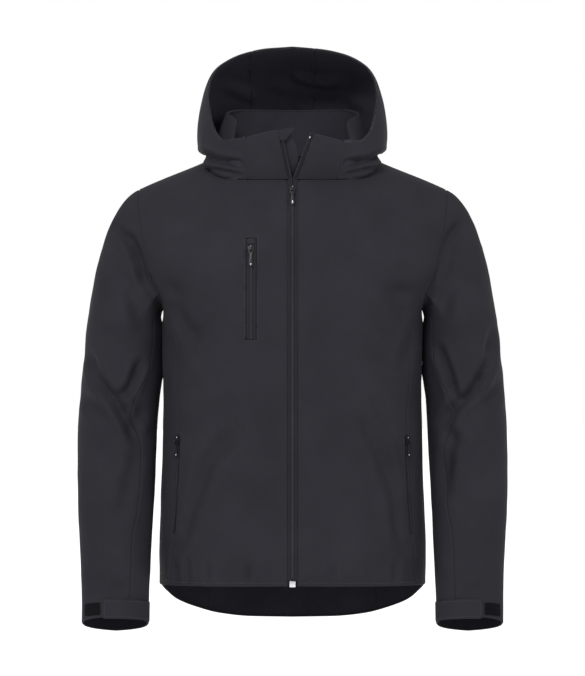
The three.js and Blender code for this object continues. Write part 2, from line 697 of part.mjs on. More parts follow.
// Flat section carried along frames of an origin, a side way and a normal
function sweep(section, frames) {
  const count = section.length;
  const positions = frames.flatMap(({ origin, side, normal }) => section.map(([s, n]) =>
    origin.clone().addScaledVector(side, s).addScaledVector(normal, n)));
  const triangles = [];
  for (let f = 0; f < frames.length - 1; f += 1) {
    for (let k = 0; k < count; k += 1) {
      const next = (k + 1) % count;
      const [a, b, c, d] = [f * count + k, f * count + next, (f + 1) * count + next, (f + 1) * count + k];
      triangles.push([a, b, c], [a, c, d]);
    }
  }
  const caps = THREE.ShapeUtils.triangulateShape(section.map(([s, n]) => new THREE.Vector2(s, n)), []);
  const isForward = THREE.ShapeUtils.area(section.map(([s, n]) => new THREE.Vector2(s, n))) > 0;
  const end = (frames.length - 1) * count;
  for (const [a, b, c] of caps) {
    triangles.push(isForward ? [a, c, b] : [a, b, c]);
    triangles.push(isForward ? [end + a, end + b, end + c] : [end + a, end + c, end + b]);
  }
  return solid(positions, triangles);
}

function toManifold(geometry) {
  const bare = geometry.clone();
  bare.deleteAttribute('normal');
  bare.deleteAttribute('uv');
  const merged = mergeVertices(bare, 1e-4);
  return new wasm.Manifold(new wasm.Mesh({
    numProp: 3,
    vertProperties: Float32Array.from(merged.attributes.position.array),
    triVerts: Uint32Array.from(merged.index.array),
  }));
}

function fromManifold(manifold) {
  const mesh = manifold.getMesh();
  const geometry = new THREE.BufferGeometry();
  geometry.setAttribute('position', new THREE.Float32BufferAttribute(mesh.vertProperties, 3));
  geometry.setIndex([...mesh.triVerts]);
  geometry.computeVertexNormals();
  return geometry;
}

// Finishes
function finish(color, roughness, metalness = 0) {
  return new THREE.MeshStandardMaterial({ color, roughness, metalness });
}
const CLOTH = finish('#37363b', 0.85);
const CLOTH_INSIDE = finish('#2b2a2f', 0.9);
const TAPE = finish('#26252a', 0.7);
const LOOP = finish('#1b1a1e', 0.95);
const GUNMETAL = finish('#2c2b30', 0.45, 0.6);
const SILVER = finish('#b9b9bc', 0.3, 0.9);

const jacket = new THREE.Group();

function addPiece(name, geometry, material, matrix = null) {
  const mesh = new THREE.Mesh(geometry, material);
  mesh.name = name;
  if (matrix) matrix.decompose(mesh.position, mesh.quaternion, mesh.scale);
  jacket.add(mesh);
}

const SIDES = [
  { side: -1, label: 'right' },
  { side: 1, label: 'left' },
];

// How far the pocket slit opens the princess seam at a height
function slitHalf(z) {
  return z < POCKET_ZIP.top + 2 && z > POCKET_ZIP.bottom - 2 ? POCKET_ZIP.half : 0;
}

function frontPanel(side) {
  const grid = frontGrid(side);
  const edge = grid[grid.length - 1];
  const panel = insetGrid(grid, {
    right: (j) => SEAM_HALF + slitHalf(edge[j].point.z),
    top: SEAM_HALF,
  });
  const geometry = wall(panel, 0, -SHELL);
  if (side > 0) return geometry;
  return fromManifold(toManifold(geometry).subtract(toManifold(chestSlot())));
}

function roundedRectangle(width, height, radius) {
  const shape = new THREE.Shape();
  const [w, h] = [width / 2 - radius, height / 2 - radius];
  shape.absarc(w, h, radius, 0, Math.PI / 2);
  shape.absarc(-w, h, radius, Math.PI / 2, Math.PI);
  shape.absarc(-w, -h, radius, Math.PI, Math.PI * 1.5);
  shape.absarc(w, -h, radius, Math.PI * 1.5, Math.PI * 2);
  return shape;
}

// Cutter for the chest pocket's opening, which runs through the front wall only
function chestSlot() {
  const height = CHEST_ZIP.top - CHEST_ZIP.bottom;
  const shape = roundedRectangle(CHEST_ZIP.width, height, 1);
  const cutter = new THREE.ExtrudeGeometry(shape, { depth: 90, bevelEnabled: false, curveSegments: 3 });
  cutter.rotateX(Math.PI / 2);
  cutter.translate(CHEST_ZIP.x, -60, (CHEST_ZIP.top + CHEST_ZIP.bottom) / 2);
  return cutter;
}

function sidePanel(side) {
  const grid = bodyGrid(side, UNDERARM_STEPS, PATCHES.side);
  return wall(insetGrid(grid, {
    left: (j) => SEAM_HALF + slitHalf(grid[0][j].point.z),
    right: SEAM_HALF,
    top: SEAM_HALF,
  }), 0, -SHELL);
}

function backPanel() {
  const steps = BACK_NECK_STOPS.length - 1 + BACK_SHOULDER_STEPS;
  const left = bodyGrid(1, steps, PATCHES.backLower, PATCHES.backUpper);
  const right = bodyGrid(-1, steps, PATCHES.backLower, PATCHES.backUpper);
  const grid = [...right.slice(1).reverse(), ...left];
  return wall(insetGrid(grid, { left: SEAM_HALF, right: SEAM_HALF, top: SEAM_HALF }), 0, -SHELL);
}

// Sleeve ring at a height: 0 degrees is the outer side and 90 the front
function sleevePoint(degrees, z) {
  const angle = THREE.MathUtils.degToRad(degrees);
  const lean = (sleeve.y(z + 12) - sleeve.y(z - 12)) / 24;
  const back = vec(0, 1, -lean).normalize();
  return vec(sleeve.x(z) + sleeve.across(z) * Math.cos(angle), sleeve.y(z), z)
    .addScaledVector(back, -sleeve.deep(z) * Math.sin(angle));
}

function sleeveNormal(degrees, z) {
  return surfaceNormal((a, b) => sleevePoint(-a, b), -degrees, z, 1, 1);
}

// Columns of the sleeve round the armhole, which share the panels' own edge points
const ARMHOLE_STOPS = [
  ...evenSteps(UPPER_STEPS).map((t) => t ** RIDGE_EASE),
  ...evenSteps(UNDERARM_STEPS, 1, 3).slice(1),
  ...evenSteps(UPPER_STEPS).slice(1).map((t) => 4 - (1 - t) ** RIDGE_EASE),
];
const UNDERARM_COLUMN = UPPER_STEPS + UNDERARM_STEPS / 2;
const SLEEVE_FRONT_COLUMN = UPPER_STEPS + 2;
const SLEEVE_BACK_COLUMN = UPPER_STEPS + UNDERARM_STEPS + 1;

function armholeAngles() {
  const points = ARMHOLE_STOPS.map((a) => plainTorso(...armholePlace(a)));
  const lengths = [0];
  for (let k = 1; k < points.length; k += 1) {
    lengths.push(lengths[k - 1] + points[k].distanceTo(points[k - 1]));
  }
  const half = lengths[UNDERARM_COLUMN];
  const rest = lengths[points.length - 1] - half;
  return lengths.map((length, k) => {
    if (k <= UNDERARM_COLUMN) return (180 * length) / half;
    return 180 + (180 * (length - half)) / rest;
  });
}
const ARMHOLE_ANGLES = armholeAngles();

function armAngle(k, z) {
  const last = ARMHOLE_STOPS.length - 1;
  const { front, back } = sleeveSeam;
  if (k <= SLEEVE_FRONT_COLUMN) return (front(z) * k) / SLEEVE_FRONT_COLUMN;
  if (k <= SLEEVE_BACK_COLUMN) {
    return mix(front(z), back(z), (k - SLEEVE_FRONT_COLUMN) / (SLEEVE_BACK_COLUMN - SLEEVE_FRONT_COLUMN));
  }
  return mix(back(z), 360, (k - SLEEVE_BACK_COLUMN) / (last - SLEEVE_BACK_COLUMN));
}

// How far the sleeve head runs on in the shoulder's line, and the arm's line up into it
const CAP_LEAVE = 0.78;
const CAP_ARRIVE = 0.85;

function capPoint(k, w) {
  const [turn, z] = armholePlace(ARMHOLE_STOPS[k]);
  const start = plainTorso(turn, z);
  const last = ARMHOLE_STOPS.length - 1;
  const after = plainTorso(...armholePlace(ARMHOLE_STOPS[k === last ? 1 : k + 1]));
  const before = plainTorso(...armholePlace(ARMHOLE_STOPS[k === 0 ? last - 1 : k - 1]));
  const leave = torsoNormal(1, turn, z).cross(after.sub(before)).normalize();
  const degrees = mix(ARMHOLE_ANGLES[k], armAngle(k, SLEEVE_TOP), smoothStep(w));
  const end = sleevePoint(degrees, SLEEVE_TOP);
  const arrive = end.clone().sub(sleevePoint(degrees, SLEEVE_TOP - 10)).negate().normalize();
  const distance = start.distanceTo(end);
  const t2 = w * w;
  const t3 = t2 * w;
  return start.multiplyScalar(2 * t3 - 3 * t2 + 1)
    .addScaledVector(leave, (t3 - 2 * t2 + w) * (CAP_LEAVE * distance + 6))
    .addScaledVector(end, 3 * t2 - 2 * t3)
    .addScaledVector(arrive, (t3 - t2) * CAP_ARRIVE * distance);
}

function sleeveEnd(k) {
  const forward = (1 + Math.sin(THREE.MathUtils.degToRad(armAngle(k, SLEEVE_END.back)))) / 2;
  return mix(SLEEVE_END.back, SLEEVE_END.front, forward ** SLEEVE_END.hold);
}

function sleeveGrid(side) {
  const columns = ARMHOLE_STOPS.map((_, k) => k);
  const capRows = evenSteps(CAP_STEPS).slice(0, -1);
  const plain = columns.map((k) => [
    ...capRows.map((w) => capPoint(k, w)),
    ...ARM_ROWS.map((share) => {
      const z = mix(SLEEVE_TOP, sleeveEnd(k), share);
      return sleevePoint(armAngle(k, z), z);
    }),
  ]);
  const middle = plain[0].map((_, j) => {
    const sum = plain.reduce((total, column) => total.add(column[j]), vec(0, 0, 0));
    return sum.divideScalar(plain.length);
  });
  const outward = (points) => (i, j) => points[i][j].clone().sub(middle[j]);
  const plainNormals = gridNormals(plain, outward(plain), true);
  const folded = plain.map((column, k) => column.map((point, j) => {
    const front = smoothStep((-plainNormals[k][j].y + 0.1) / 0.6) * smoothStep(j / 3);
    const depth = foldDepth(SLEEVE_FOLDS, side, point.x, point.z) * front;
    return point.clone().addScaledVector(plainNormals[k][j], -depth);
  }));
  const normals = gridNormals(folded, outward(folded), true);
  return folded.map((column, k) => column.map((point, j) => {
    const normal = j === 0 ? torsoNormal(1, ...armholePlace(ARMHOLE_STOPS[k])) : normals[k][j];
    return mirrorNode({ point, normal }, side);
  }));
}

const SLEEVE_EDGES = { left: SEAM_HALF, right: SEAM_HALF, bottom: SEAM_HALF };

// Wearer's own collar columns run from the right front by the back to the left front
const NECK_COLUMNS = [...BACK_NECK_STOPS, ...FRONT_NECK_STOPS.slice(0, -1).reverse()];
const COLLAR_COLUMNS = [...NECK_COLUMNS.slice(1).map((n) => -n).reverse(), ...NECK_COLUMNS];
const COLLAR_BOW = 3;

function collarPoint(n, v) {
  const base = plainTorso(...neckPlace(Math.abs(n)));
  if (n < 0) base.x = -base.x;
  const top = vec(collarTop.x(n), collarTop.y(n), collarTop.z(n));
  const bow = vec(base.x, base.y - 5, 0).normalize().multiplyScalar(COLLAR_BOW * 4 * v * (1 - v));
  return base.lerp(top, v).add(bow);
}

function neckNormal(n) {
  const normal = torsoNormal(1, ...neckPlace(Math.abs(n)));
  return n < 0 ? vec(-normal.x, normal.y, normal.z) : normal;
}

function collarGrid() {
  const rows = evenSteps(COLLAR_STEPS);
  const points = COLLAR_COLUMNS.map((n) => rows.map((v) => collarPoint(n, v)));
  const normals = gridNormals(points, (i, j) => vec(points[i][j].x, points[i][j].y - 5, 0));
  return points.map((column, i) => column.map((point, j) => ({
    point,
    normal: j === 0 ? neckNormal(COLLAR_COLUMNS[i]) : normals[i][j],
    level: j === 0 ? normals[i][1] : normals[i][j],
  })));
}

const COLLAR = collarGrid();
const COVER_COLUMN = FRONT_NECK_STOPS.indexOf(COLLAR_COVER);

function collarCover(side) {
  const columns = side > 0
    ? COLLAR.slice(COLLAR.length - 1 - COVER_COLUMN)
    : COLLAR.slice(0, COVER_COLUMN + 1);
  const grid = columns.map((column) => column.map(({ point, normal, level }, j) => ({
    point,
    normal: j === 0 ? normal.clone().add(level).normalize() : level,
  })));
  const edge = side > 0 ? 'left' : 'right';
  return wall(insetGrid(grid, { [edge]: SEAM_HALF }), LAYER_GAP + SHELL, LAYER_GAP + 0.1);
}

// Inner face of the hood: each column is a curve from the neck seam to the face edge,
// and the front columns come to lie on the collar
function hoodPoint(column, v) {
  const n = COLLAR_COLUMNS[column];
  const side = Math.sign(n);
  const u = Math.min(1, Math.abs(n) / COLLAR_COVER);
  const { point, normal, level } = COLLAR[column][0];
  const flat = vec(level.x, level.y, 0).normalize();
  const away = flat.clone().multiplyScalar(hood.out(u)).add(vec(0, 0, hood.rise(u)));
  const underside = vec(-flat.y, flat.x, 0).cross(away.clone().normalize());
  const between = normal.clone().add(level).normalize();
  const room = LAYER_GAP + SHELL * Math.max(0, -underside.dot(normal)) + 0.2;
  const base = point.clone().addScaledVector(between, room / between.dot(normal));
  const leave = base.clone().add(away);
  const face = vec(side * hood.x(u), hood.y(u), hood.z(u));
  const arrive = face.clone().add(vec(side * hood.side(u), hood.back(u), hood.up(u)));
  const curve = new THREE.CubicBezierCurve3(base, leave, arrive, face).getPoint(v);
  const lie = smoothStep((u - 0.86) / 0.14);
  if (lie === 0) return curve;
  const rows = COLLAR[column];
  const place = v * (rows.length - 1);
  const i = Math.min(Math.floor(place), rows.length - 2);
  const onCollar = rows[i].point.clone().lerp(rows[i + 1].point, place - i)
    .addScaledVector(rows[i].level.clone().lerp(rows[i + 1].level, place - i).normalize(), LAYER_GAP + 0.1);
  if (v === 0) return base;
  return curve.lerp(onCollar, lie);
}

function hoodGrid() {
  const rows = evenSteps(HOOD_STEPS);
  const first = COVER_COLUMN;
  const last = COLLAR.length - 1 - COVER_COLUMN;
  const columns = COLLAR_COLUMNS.map((_, i) => i).slice(first, last + 1);
  const points = columns.map((column) => rows.map((v) => hoodPoint(column, v)));
  const centre = vec(0, 20, 80);
  const normals = gridNormals(points, (i, j) => points[i][j].clone().sub(centre));
  return points.map((column, i) => column.map((point, j) => ({ point, normal: normals[i][j] })));
}

// Heights of a zip's strip from the cloth: its tape's two faces and its coil's face
const STRIP = { low: -1.7, tape: -0.6, coil: 0.1, coilHalf: 1.6, coilFoot: 2 };
// Sections of the strips: distance from the cloth edge, or from the middle, and height
const FRONT_TAPE_SECTION = [
  [0.4, -1.6], [7.2, -1.6], [7.2, 0.4], [4.9, 0.4], [4.9, -0.5], [0.4, -0.5],
];

function coilSection(half) {
  const { low, tape, coil, coilHalf, coilFoot } = STRIP;
  return [
    [-half, low], [half, low], [half, tape], [coilFoot, tape],
    [coilHalf, coil], [-coilHalf, coil], [-coilFoot, tape], [-half, tape],
  ];
}

const OPENING_STEPS = 16;
const NECK_CLEAR = 6;

// Frames up one edge of the front opening, past the neck seam and up the collar
function openingFrames(side, bottomZ) {
  const frames = evenSteps(OPENING_STEPS, bottomZ, FRONT_NECK.centre - NECK_CLEAR).map((z) => {
    const node = torsoNode(side, [turnAt(ZIP_HALF, z), z]);
    return { origin: node.point, side: vec(-side, 0, 0), normal: node.normal };
  });
  const column = side > 0 ? COLLAR[COLLAR.length - 1] : COLLAR[0];
  for (let j = 0; j < column.length; j += 1) {
    const above = column[Math.min(j + 1, column.length - 1)].point;
    const along = above.clone().sub(column[Math.max(j - 1, 0)].point);
    const inward = along.cross(column[j].level).normalize();
    if (inward.x * side > 0) inward.negate();
    frames.push({ origin: column[j].point, side: inward, normal: column[j].level });
  }
  return frames;
}

const FLAP = { from: -14, depth: -4.2, wall: 1.2, reach: 15.5 };
// How far the flap reaches past the collar's edge, and its extra depth, from the last row
// below the neck seam to the collar's top
const FLAP_TOP = [
  { reach: 15.5, deeper: 4 },
  { reach: 16, deeper: 4 },
  { reach: 20, deeper: 1.4 },
  { reach: 23, deeper: 0 },
  { reach: 23, deeper: 0 },
  { reach: 20, deeper: 0 },
  { reach: 15, deeper: 0 },
];

function windFlap() {
  const frames = openingFrames(-1, ZIP_BOTTOM + 4);
  const lower = frames.length - FLAP_TOP.length;
  const rowAt = (j) => (j < lower ? { reach: FLAP.reach, deeper: 0 } : FLAP_TOP[j - lower]);
  const grid = evenSteps(4).map((share) => frames.map(({ origin, side, normal }, j) => ({
    point: origin.clone()
      .addScaledVector(side, mix(FLAP.from, rowAt(j).reach, share))
      .addScaledVector(normal, -rowAt(j).deeper),
    normal,
  })));
  return wall(grid, FLAP.depth, FLAP.depth - FLAP.wall);
}

// Folded corner of the flap over the top of the zip, as distances from the collar's corner
const GUARD = [[0.6, -16], [9, -18], [28, -4], [26, -1], [0.6, -0.5]];

function chinGuard() {
  const frames = openingFrames(-1, ZIP_BOTTOM);
  const { origin, side, normal } = frames[frames.length - 1];
  const up = origin.clone().sub(frames[frames.length - 2].origin).normalize();
  return sweep(GUARD, [0.8, 2.2].map((height) => ({
    origin: origin.clone().addScaledVector(normal, height),
    side,
    normal: up,
  })));
}

// Frame of a slider: the hinge's place, across, up and outward
function sliderFrame({ x, z, lift, isUpright }) {
  const side = x < 0 ? -1 : 1;
  const { point, normal } = torsoNode(side, [turnAt(x, z), z]);
  const above = torsoNode(side, [turnAt(x, z + 8), z + 8]).point;
  const below = torsoNode(side, [turnAt(x, z - 8), z - 8]).point;
  const up = isUpright ? vec(0, 0, 1) : above.sub(below).setX(0).normalize();
  const outward = isUpright ? vec(normal.x, normal.y, 0).normalize() : X_AXIS.clone().cross(up).normalize();
  const across = up.clone().cross(outward).normalize();
  const place = point.addScaledVector(normal, lift);
  return new THREE.Matrix4().makeBasis(across, up, outward).setPosition(place);
}

const SLIDER = {
  plateTop: -1.1,
  plateWall: 1.8,
  bridgeHalf: 1.2,
  low: -6.5,
  high: 5.5,
  topHalf: 5,
  bottomHalf: 3.9,
};
// Right half of the plate, as distance from the middle and height, from the bottom up
const PLATE_EDGE = [
  [SLIDER.bottomHalf - 1, SLIDER.low],
  [SLIDER.bottomHalf, SLIDER.low + 1],
  [SLIDER.bottomHalf, -1],
  [SLIDER.topHalf, 1.5],
  [SLIDER.topHalf, SLIDER.high - 1.5],
  [SLIDER.topHalf - 1.5, SLIDER.high],
];
// Side view of the bridge, as height along the slider and distance out of its plate
const BRIDGE_OUTLINE = [
  [-3.2, -1.4], [-2.9, 1.2], [-1.8, 2.6], [3.4, 2.6], [4.6, 1.2],
  [4.9, -1.4], [3, -1.4], [3, 1.3], [-1.3, 1.3], [-1.3, -1.4],
];

// Slider with its bridge, about the hinge of the pull: across is X, up is Y, outward is Z
function sliderGeometry() {
  const mirrored = PLATE_EDGE.map(([x, y]) => [-x, y]).reverse();
  const plate = new THREE.Shape([...PLATE_EDGE, ...mirrored].map(([x, y]) => new THREE.Vector2(x, y)));
  const base = new THREE.ExtrudeGeometry(plate, { depth: SLIDER.plateWall, bevelEnabled: false });
  base.translate(0, 0, SLIDER.plateTop - SLIDER.plateWall);
  const arch = new THREE.Shape(BRIDGE_OUTLINE.map(([v, n]) => new THREE.Vector2(v, n)));
  const bridge = new THREE.ExtrudeGeometry(arch, { depth: 2 * SLIDER.bridgeHalf, bevelEnabled: false });
  bridge.translate(0, 0, -SLIDER.bridgeHalf);
  const turn = new THREE.Matrix4().makeBasis(vec(0, 1, 0), vec(0, 0, 1), vec(1, 0, 0));
  bridge.applyMatrix4(turn);
  return fromManifold(toManifold(base).add(toManifold(bridge)));
}

const PULL = { wall: 1, topHalf: 3.1, holeHalf: 2, holeTop: -0.5, holeEnd: -6, neckHalf: 1.8, endHalf: 3 };

// Pull tab about its hinge, hanging down, with the hole that goes round the bridge
function pullGeometry(length) {
  const shape = new THREE.Shape();
  shape.moveTo(-PULL.topHalf + 0.8, 0.5);
  shape.lineTo(PULL.topHalf - 0.8, 0.5);
  shape.quadraticCurveTo(PULL.topHalf, 0.5, PULL.topHalf, -0.4);
  shape.lineTo(PULL.topHalf, PULL.holeEnd - 0.4);
  shape.lineTo(PULL.neckHalf, PULL.holeEnd - 3.6);
  shape.lineTo(PULL.endHalf, -length + 6);
  shape.absarc(0, -length + PULL.endHalf, PULL.endHalf, 0, -Math.PI, true);
  shape.lineTo(-PULL.endHalf, -length + 6);
  shape.lineTo(-PULL.neckHalf, PULL.holeEnd - 3.6);
  shape.lineTo(-PULL.topHalf, PULL.holeEnd - 0.4);
  shape.lineTo(-PULL.topHalf, -0.4);
  shape.quadraticCurveTo(-PULL.topHalf, 0.5, -PULL.topHalf + 0.8, 0.5);
  const hole = new THREE.Path();
  hole.moveTo(-PULL.holeHalf, PULL.holeTop);
  hole.lineTo(-PULL.holeHalf, PULL.holeEnd);
  hole.lineTo(PULL.holeHalf, PULL.holeEnd);
  hole.lineTo(PULL.holeHalf, PULL.holeTop);
  shape.holes.push(hole);
  const pull = new THREE.ExtrudeGeometry(shape, { depth: PULL.wall, bevelEnabled: false, curveSegments: 6 });
  pull.translate(0, 0, -PULL.wall / 2);
  return pull;
}

const ZIP_BOX = { width: 9.4, height: 9, wall: 3.4, below: 0.4 };

function zipBox() {
  const shape = roundedRectangle(ZIP_BOX.width, ZIP_BOX.height, 1.4);
  const depth = ZIP_BOX.wall;
  const box = new THREE.ExtrudeGeometry(shape, { depth, bevelEnabled: false, curveSegments: 3 });
  box.rotateX(Math.PI / 2);
  const front = plainTorso(0, ZIP_BOTTOM).y - 1.2;
  box.translate(0, front + ZIP_BOX.wall, ZIP_BOTTOM - ZIP_BOX.below - ZIP_BOX.height / 2);
  return box;
}

function chestFrames(top, bottom) {
  return evenSteps(8, bottom, top).map((z) => {
    const { point, normal } = torsoNode(-1, [turnAt(CHEST_ZIP.x, z), z]);
    return { origin: point, side: X_AXIS.clone().addScaledVector(normal, -normal.x).normalize(), normal };
  });
}

function pocketFrames(side) {
  const place = (z) => torsoNode(side, [turnAt(frontSeamX(z), z), z]);
  return evenSteps(8, POCKET_ZIP.bottom + 1, POCKET_ZIP.top - 1).map((z) => {
    const { point, normal } = place(z);
    const along = place(z + 5).point.sub(place(z - 5).point);
    return { origin: point, side: along.cross(normal).normalize(), normal };
  });
}

// Strips on the cuff: degrees round the sleeve, heights along it, and walls
const CUFF_TAB = { from: 170, to: 70, top: -693, bottom: -722.5, tip: 4.5 };
const CUFF_LOOP = { from: 66, to: 30, top: -698, bottom: -716, wall: 0.9 };

function cuffGrid(side, { from, to, top, bottom, tip = 0 }, columns, rows) {
  return evenSteps(columns).map((share, i) => {
    const degrees = mix(from, to, share);
    const trim = i === columns ? tip : 0;
    return evenSteps(rows, bottom + trim, top - trim).map((z) =>
      mirrorNode({ point: sleevePoint(degrees, z), normal: sleeveNormal(degrees, z) }, side));
  });
}

for (const { side, label } of SIDES) {
  addPiece(`front_${label}`, frontPanel(side), CLOTH);
  addPiece(`side_${label}`, sidePanel(side), CLOTH);
}
addPiece('back', backPanel(), CLOTH);
for (const { side, label } of SIDES) {
  const grid = sleeveGrid(side);
  const last = grid.length - 1;
  const under = grid.slice(SLEEVE_FRONT_COLUMN, SLEEVE_BACK_COLUMN + 1);
  const upper = [...grid.slice(SLEEVE_BACK_COLUMN, last), ...grid.slice(0, SLEEVE_FRONT_COLUMN + 1)];
  addPiece(`sleeve_upper_${label}`, wall(insetGrid(upper, SLEEVE_EDGES), 0, -SHELL), CLOTH);
  addPiece(`sleeve_under_${label}`, wall(insetGrid(under, SLEEVE_EDGES), 0, -SHELL), CLOTH);
}
addPiece('collar', wall(insetGrid(COLLAR, { bottom: SEAM_HALF }), 0, -COLLAR_WALL), CLOTH_INSIDE);
for (const { side, label } of SIDES) addPiece(`collar_front_${label}`, collarCover(side), CLOTH);

const hoodWhole = hoodGrid();
const hoodMiddle = (hoodWhole.length - 1) / 2;
const HOOD_PANELS = [
  { name: 'hood_side_right', from: 0, to: hoodMiddle - 2 },
  { name: 'hood_centre', from: hoodMiddle - 2, to: hoodMiddle + 1 },
  { name: 'hood_side_left', from: hoodMiddle + 1, to: hoodWhole.length - 1 },
];
for (const { name, from, to } of HOOD_PANELS) {
  const panel = insetGrid(hoodWhole.slice(from, to + 1), { left: SEAM_HALF, right: SEAM_HALF });
  addPiece(name, wall(panel, SHELL, 0), CLOTH);
}

for (const { side, label } of SIDES) {
  addPiece(`zip_tape_${label}`, sweep(FRONT_TAPE_SECTION, openingFrames(side, ZIP_BOTTOM)), TAPE);
}
addPiece('wind_flap', windFlap(), CLOTH);
addPiece('chin_guard', chinGuard(), CLOTH);
addPiece('zip_box', zipBox(), SILVER);
const chestHalf = CHEST_ZIP.width / 2 - 0.5;
const chestStrip = chestFrames(CHEST_ZIP.top - 0.5, CHEST_ZIP.bottom + 0.5);
addPiece('chest_zip', sweep(coilSection(chestHalf), chestStrip), TAPE);
// Small fold over the top of the chest zip, hollow where it clears the coil
const GARAGE_SECTION = [
  [-5.5, -0.2], [-2.4, -0.2], [-2, 0.5], [2, 0.5],
  [2.4, -0.2], [5.5, -0.2], [5.5, 0.9], [-5.5, 0.9],
];
const garageStrip = chestFrames(CHEST_ZIP.top - 1, CHEST_ZIP.top - 9);
addPiece('chest_garage', sweep(GARAGE_SECTION, garageStrip), CLOTH);
for (const { side, label } of SIDES) {
  addPiece(`pocket_zip_${label}`, sweep(coilSection(POCKET_ZIP.half - 0.4), pocketFrames(side)), TAPE);
}
const pocketX = frontSeamX(POCKET_ZIP.slider);
const pocketSlider = { z: POCKET_ZIP.slider, lift: 3.6, isUpright: true, length: 25 };
const SLIDERS = [
  { name: 'zip', x: 0, z: ZIP_SLIDER_Z, lift: 3.6, isUpright: false, length: 27 },
  { name: 'chest', x: CHEST_ZIP.x, z: CHEST_ZIP.slider, lift: 3.3, isUpright: false, length: 28 },
  { name: 'pocket_right', x: -pocketX, ...pocketSlider },
  { name: 'pocket_left', x: pocketX, ...pocketSlider },
];
for (const slider of SLIDERS) {
  addPiece(`${slider.name}_slider`, sliderGeometry(), GUNMETAL, sliderFrame(slider));
  addPiece(`${slider.name}_pull`, pullGeometry(slider.length), GUNMETAL, sliderFrame(slider));
}
for (const { side, label } of SIDES) {
  const tab = cuffGrid(side, CUFF_TAB, 9, 2);
  const loop = cuffGrid(side, CUFF_LOOP, 4, 1);
  addPiece(`cuff_tab_${label}`, wall(tab, LAYER_GAP + TAB_WALL, LAYER_GAP), CLOTH);
  addPiece(`cuff_loop_${label}`, wall(loop, LAYER_GAP + CUFF_LOOP.wall, LAYER_GAP), LOOP);
}

export default jacket;
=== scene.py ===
"""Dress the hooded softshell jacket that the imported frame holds.

The cloth is rebuilt as thin shells on the same form as the solids, in millimetres, and turned
to metres where a mesh is made. The front faces -Y and the wearer's left is +X.
"""
import logging
import math
from bisect import bisect_left
from collections.abc import Callable, Iterable, Sequence
from dataclasses import dataclass, field
from enum import Enum

import bmesh
import bpy
from mathutils import Matrix, Vector, noise
from mathutils.bvhtree import BVHTree


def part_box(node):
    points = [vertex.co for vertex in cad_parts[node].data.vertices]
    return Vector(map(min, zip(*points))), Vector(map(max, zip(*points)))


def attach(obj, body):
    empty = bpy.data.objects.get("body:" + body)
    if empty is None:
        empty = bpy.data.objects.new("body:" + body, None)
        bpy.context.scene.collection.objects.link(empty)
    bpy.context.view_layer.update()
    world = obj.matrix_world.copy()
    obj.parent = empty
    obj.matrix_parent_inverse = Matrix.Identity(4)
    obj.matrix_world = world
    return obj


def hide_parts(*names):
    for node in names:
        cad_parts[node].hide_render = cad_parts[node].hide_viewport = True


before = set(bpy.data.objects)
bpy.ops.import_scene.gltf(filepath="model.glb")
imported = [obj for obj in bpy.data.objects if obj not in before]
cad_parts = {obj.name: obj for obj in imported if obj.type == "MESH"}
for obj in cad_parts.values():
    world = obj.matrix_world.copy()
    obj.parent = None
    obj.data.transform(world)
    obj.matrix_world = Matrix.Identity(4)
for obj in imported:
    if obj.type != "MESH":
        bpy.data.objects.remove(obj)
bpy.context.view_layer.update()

log = logging.getLogger("jacket")

MM = 0.001
GARMENT = "garment"
Place = tuple[float, float]
Grid = list[list[Vector | None]]
Path = list[tuple[Vector, Vector]]


def mix(a: float, b: float, t: float) -> float:
    """Value at share t of the way from a to b."""
    return a + (b - a) * t


def clamp(value: float, low: float, high: float) -> float:
    """Value held between two limits."""
    return min(max(value, low), high)


def smooth_step(value: float) -> float:
    """Soft step from 0 to 1."""
    t = clamp(value, 0.0, 1.0)
    return t * t * (3 - 2 * t)


def even(count: int, start: float = 0.0, end: float = 1.0) -> list[float]:
    """Evenly spaced values.

    Args:
        count: Number of steps, one less than the values.
        start: First value.
        end: Last value.
    Returns:
        The values, both ends included.
    """
    return [mix(start, end, i / count) for i in range(count + 1)]


def pick(values: Sequence[float], place: float) -> float:
    """Value between the entries of a list at a place that need not be whole."""
    i = int(clamp(math.floor(place), 0, len(values) - 2))
    return mix(values[i], values[i + 1], place - i)


class Track:
    """Smooth curve through the rows of a table, without overshoot and level past its ends."""

    def __init__(self, rows: Iterable[tuple[float, float]]) -> None:
        """Work out the slopes.

        Args:
            rows: Pairs of place and value, in any order.
        """
        ordered = sorted(rows)
        self.places = [place for place, _ in ordered]
        self.values = [value for _, value in ordered]
        steps = [
            (self.values[i + 1] - self.values[i]) / (self.places[i + 1] - self.places[i])
            for i in range(len(ordered) - 1)
        ]
        inner = [2 * a * b / (a + b) if a * b > 0 else 0.0 for a, b in zip(steps, steps[1:])]
        self.slopes = [steps[0], *inner, steps[-1]]

    def __call__(self, place: float) -> float:
        """Value of the curve at a place.

        Args:
            place: Where on the curve.
        Returns:
            The value there.
        """
        at = clamp(place, self.places[0], self.places[-1])
        i = min(bisect_left(self.places, at, 1) - 1, len(self.places) - 2)
        span = self.places[i + 1] - self.places[i]
        t = (at - self.places[i]) / span
        start = self.values[i] * (1 + 2 * t) * (1 - t) ** 2 + self.slopes[i] * span * t * (1 - t) ** 2
        end = self.values[i + 1] * t * t * (3 - 2 * t) + self.slopes[i + 1] * span * t * t * (t - 1)
        return start + end


def tracks(columns: str, rows: Sequence[Sequence[float]]) -> dict[str, Track]:
    """Curves through the columns of a table.

    Args:
        columns: Names of the columns, the first being the place along the curve.
        rows: The table.
    Returns:
        One curve for each column after the first.
    """
    names = columns.split()
    return {name: Track((row[0], row[k]) for row in rows) for k, name in enumerate(names) if k}


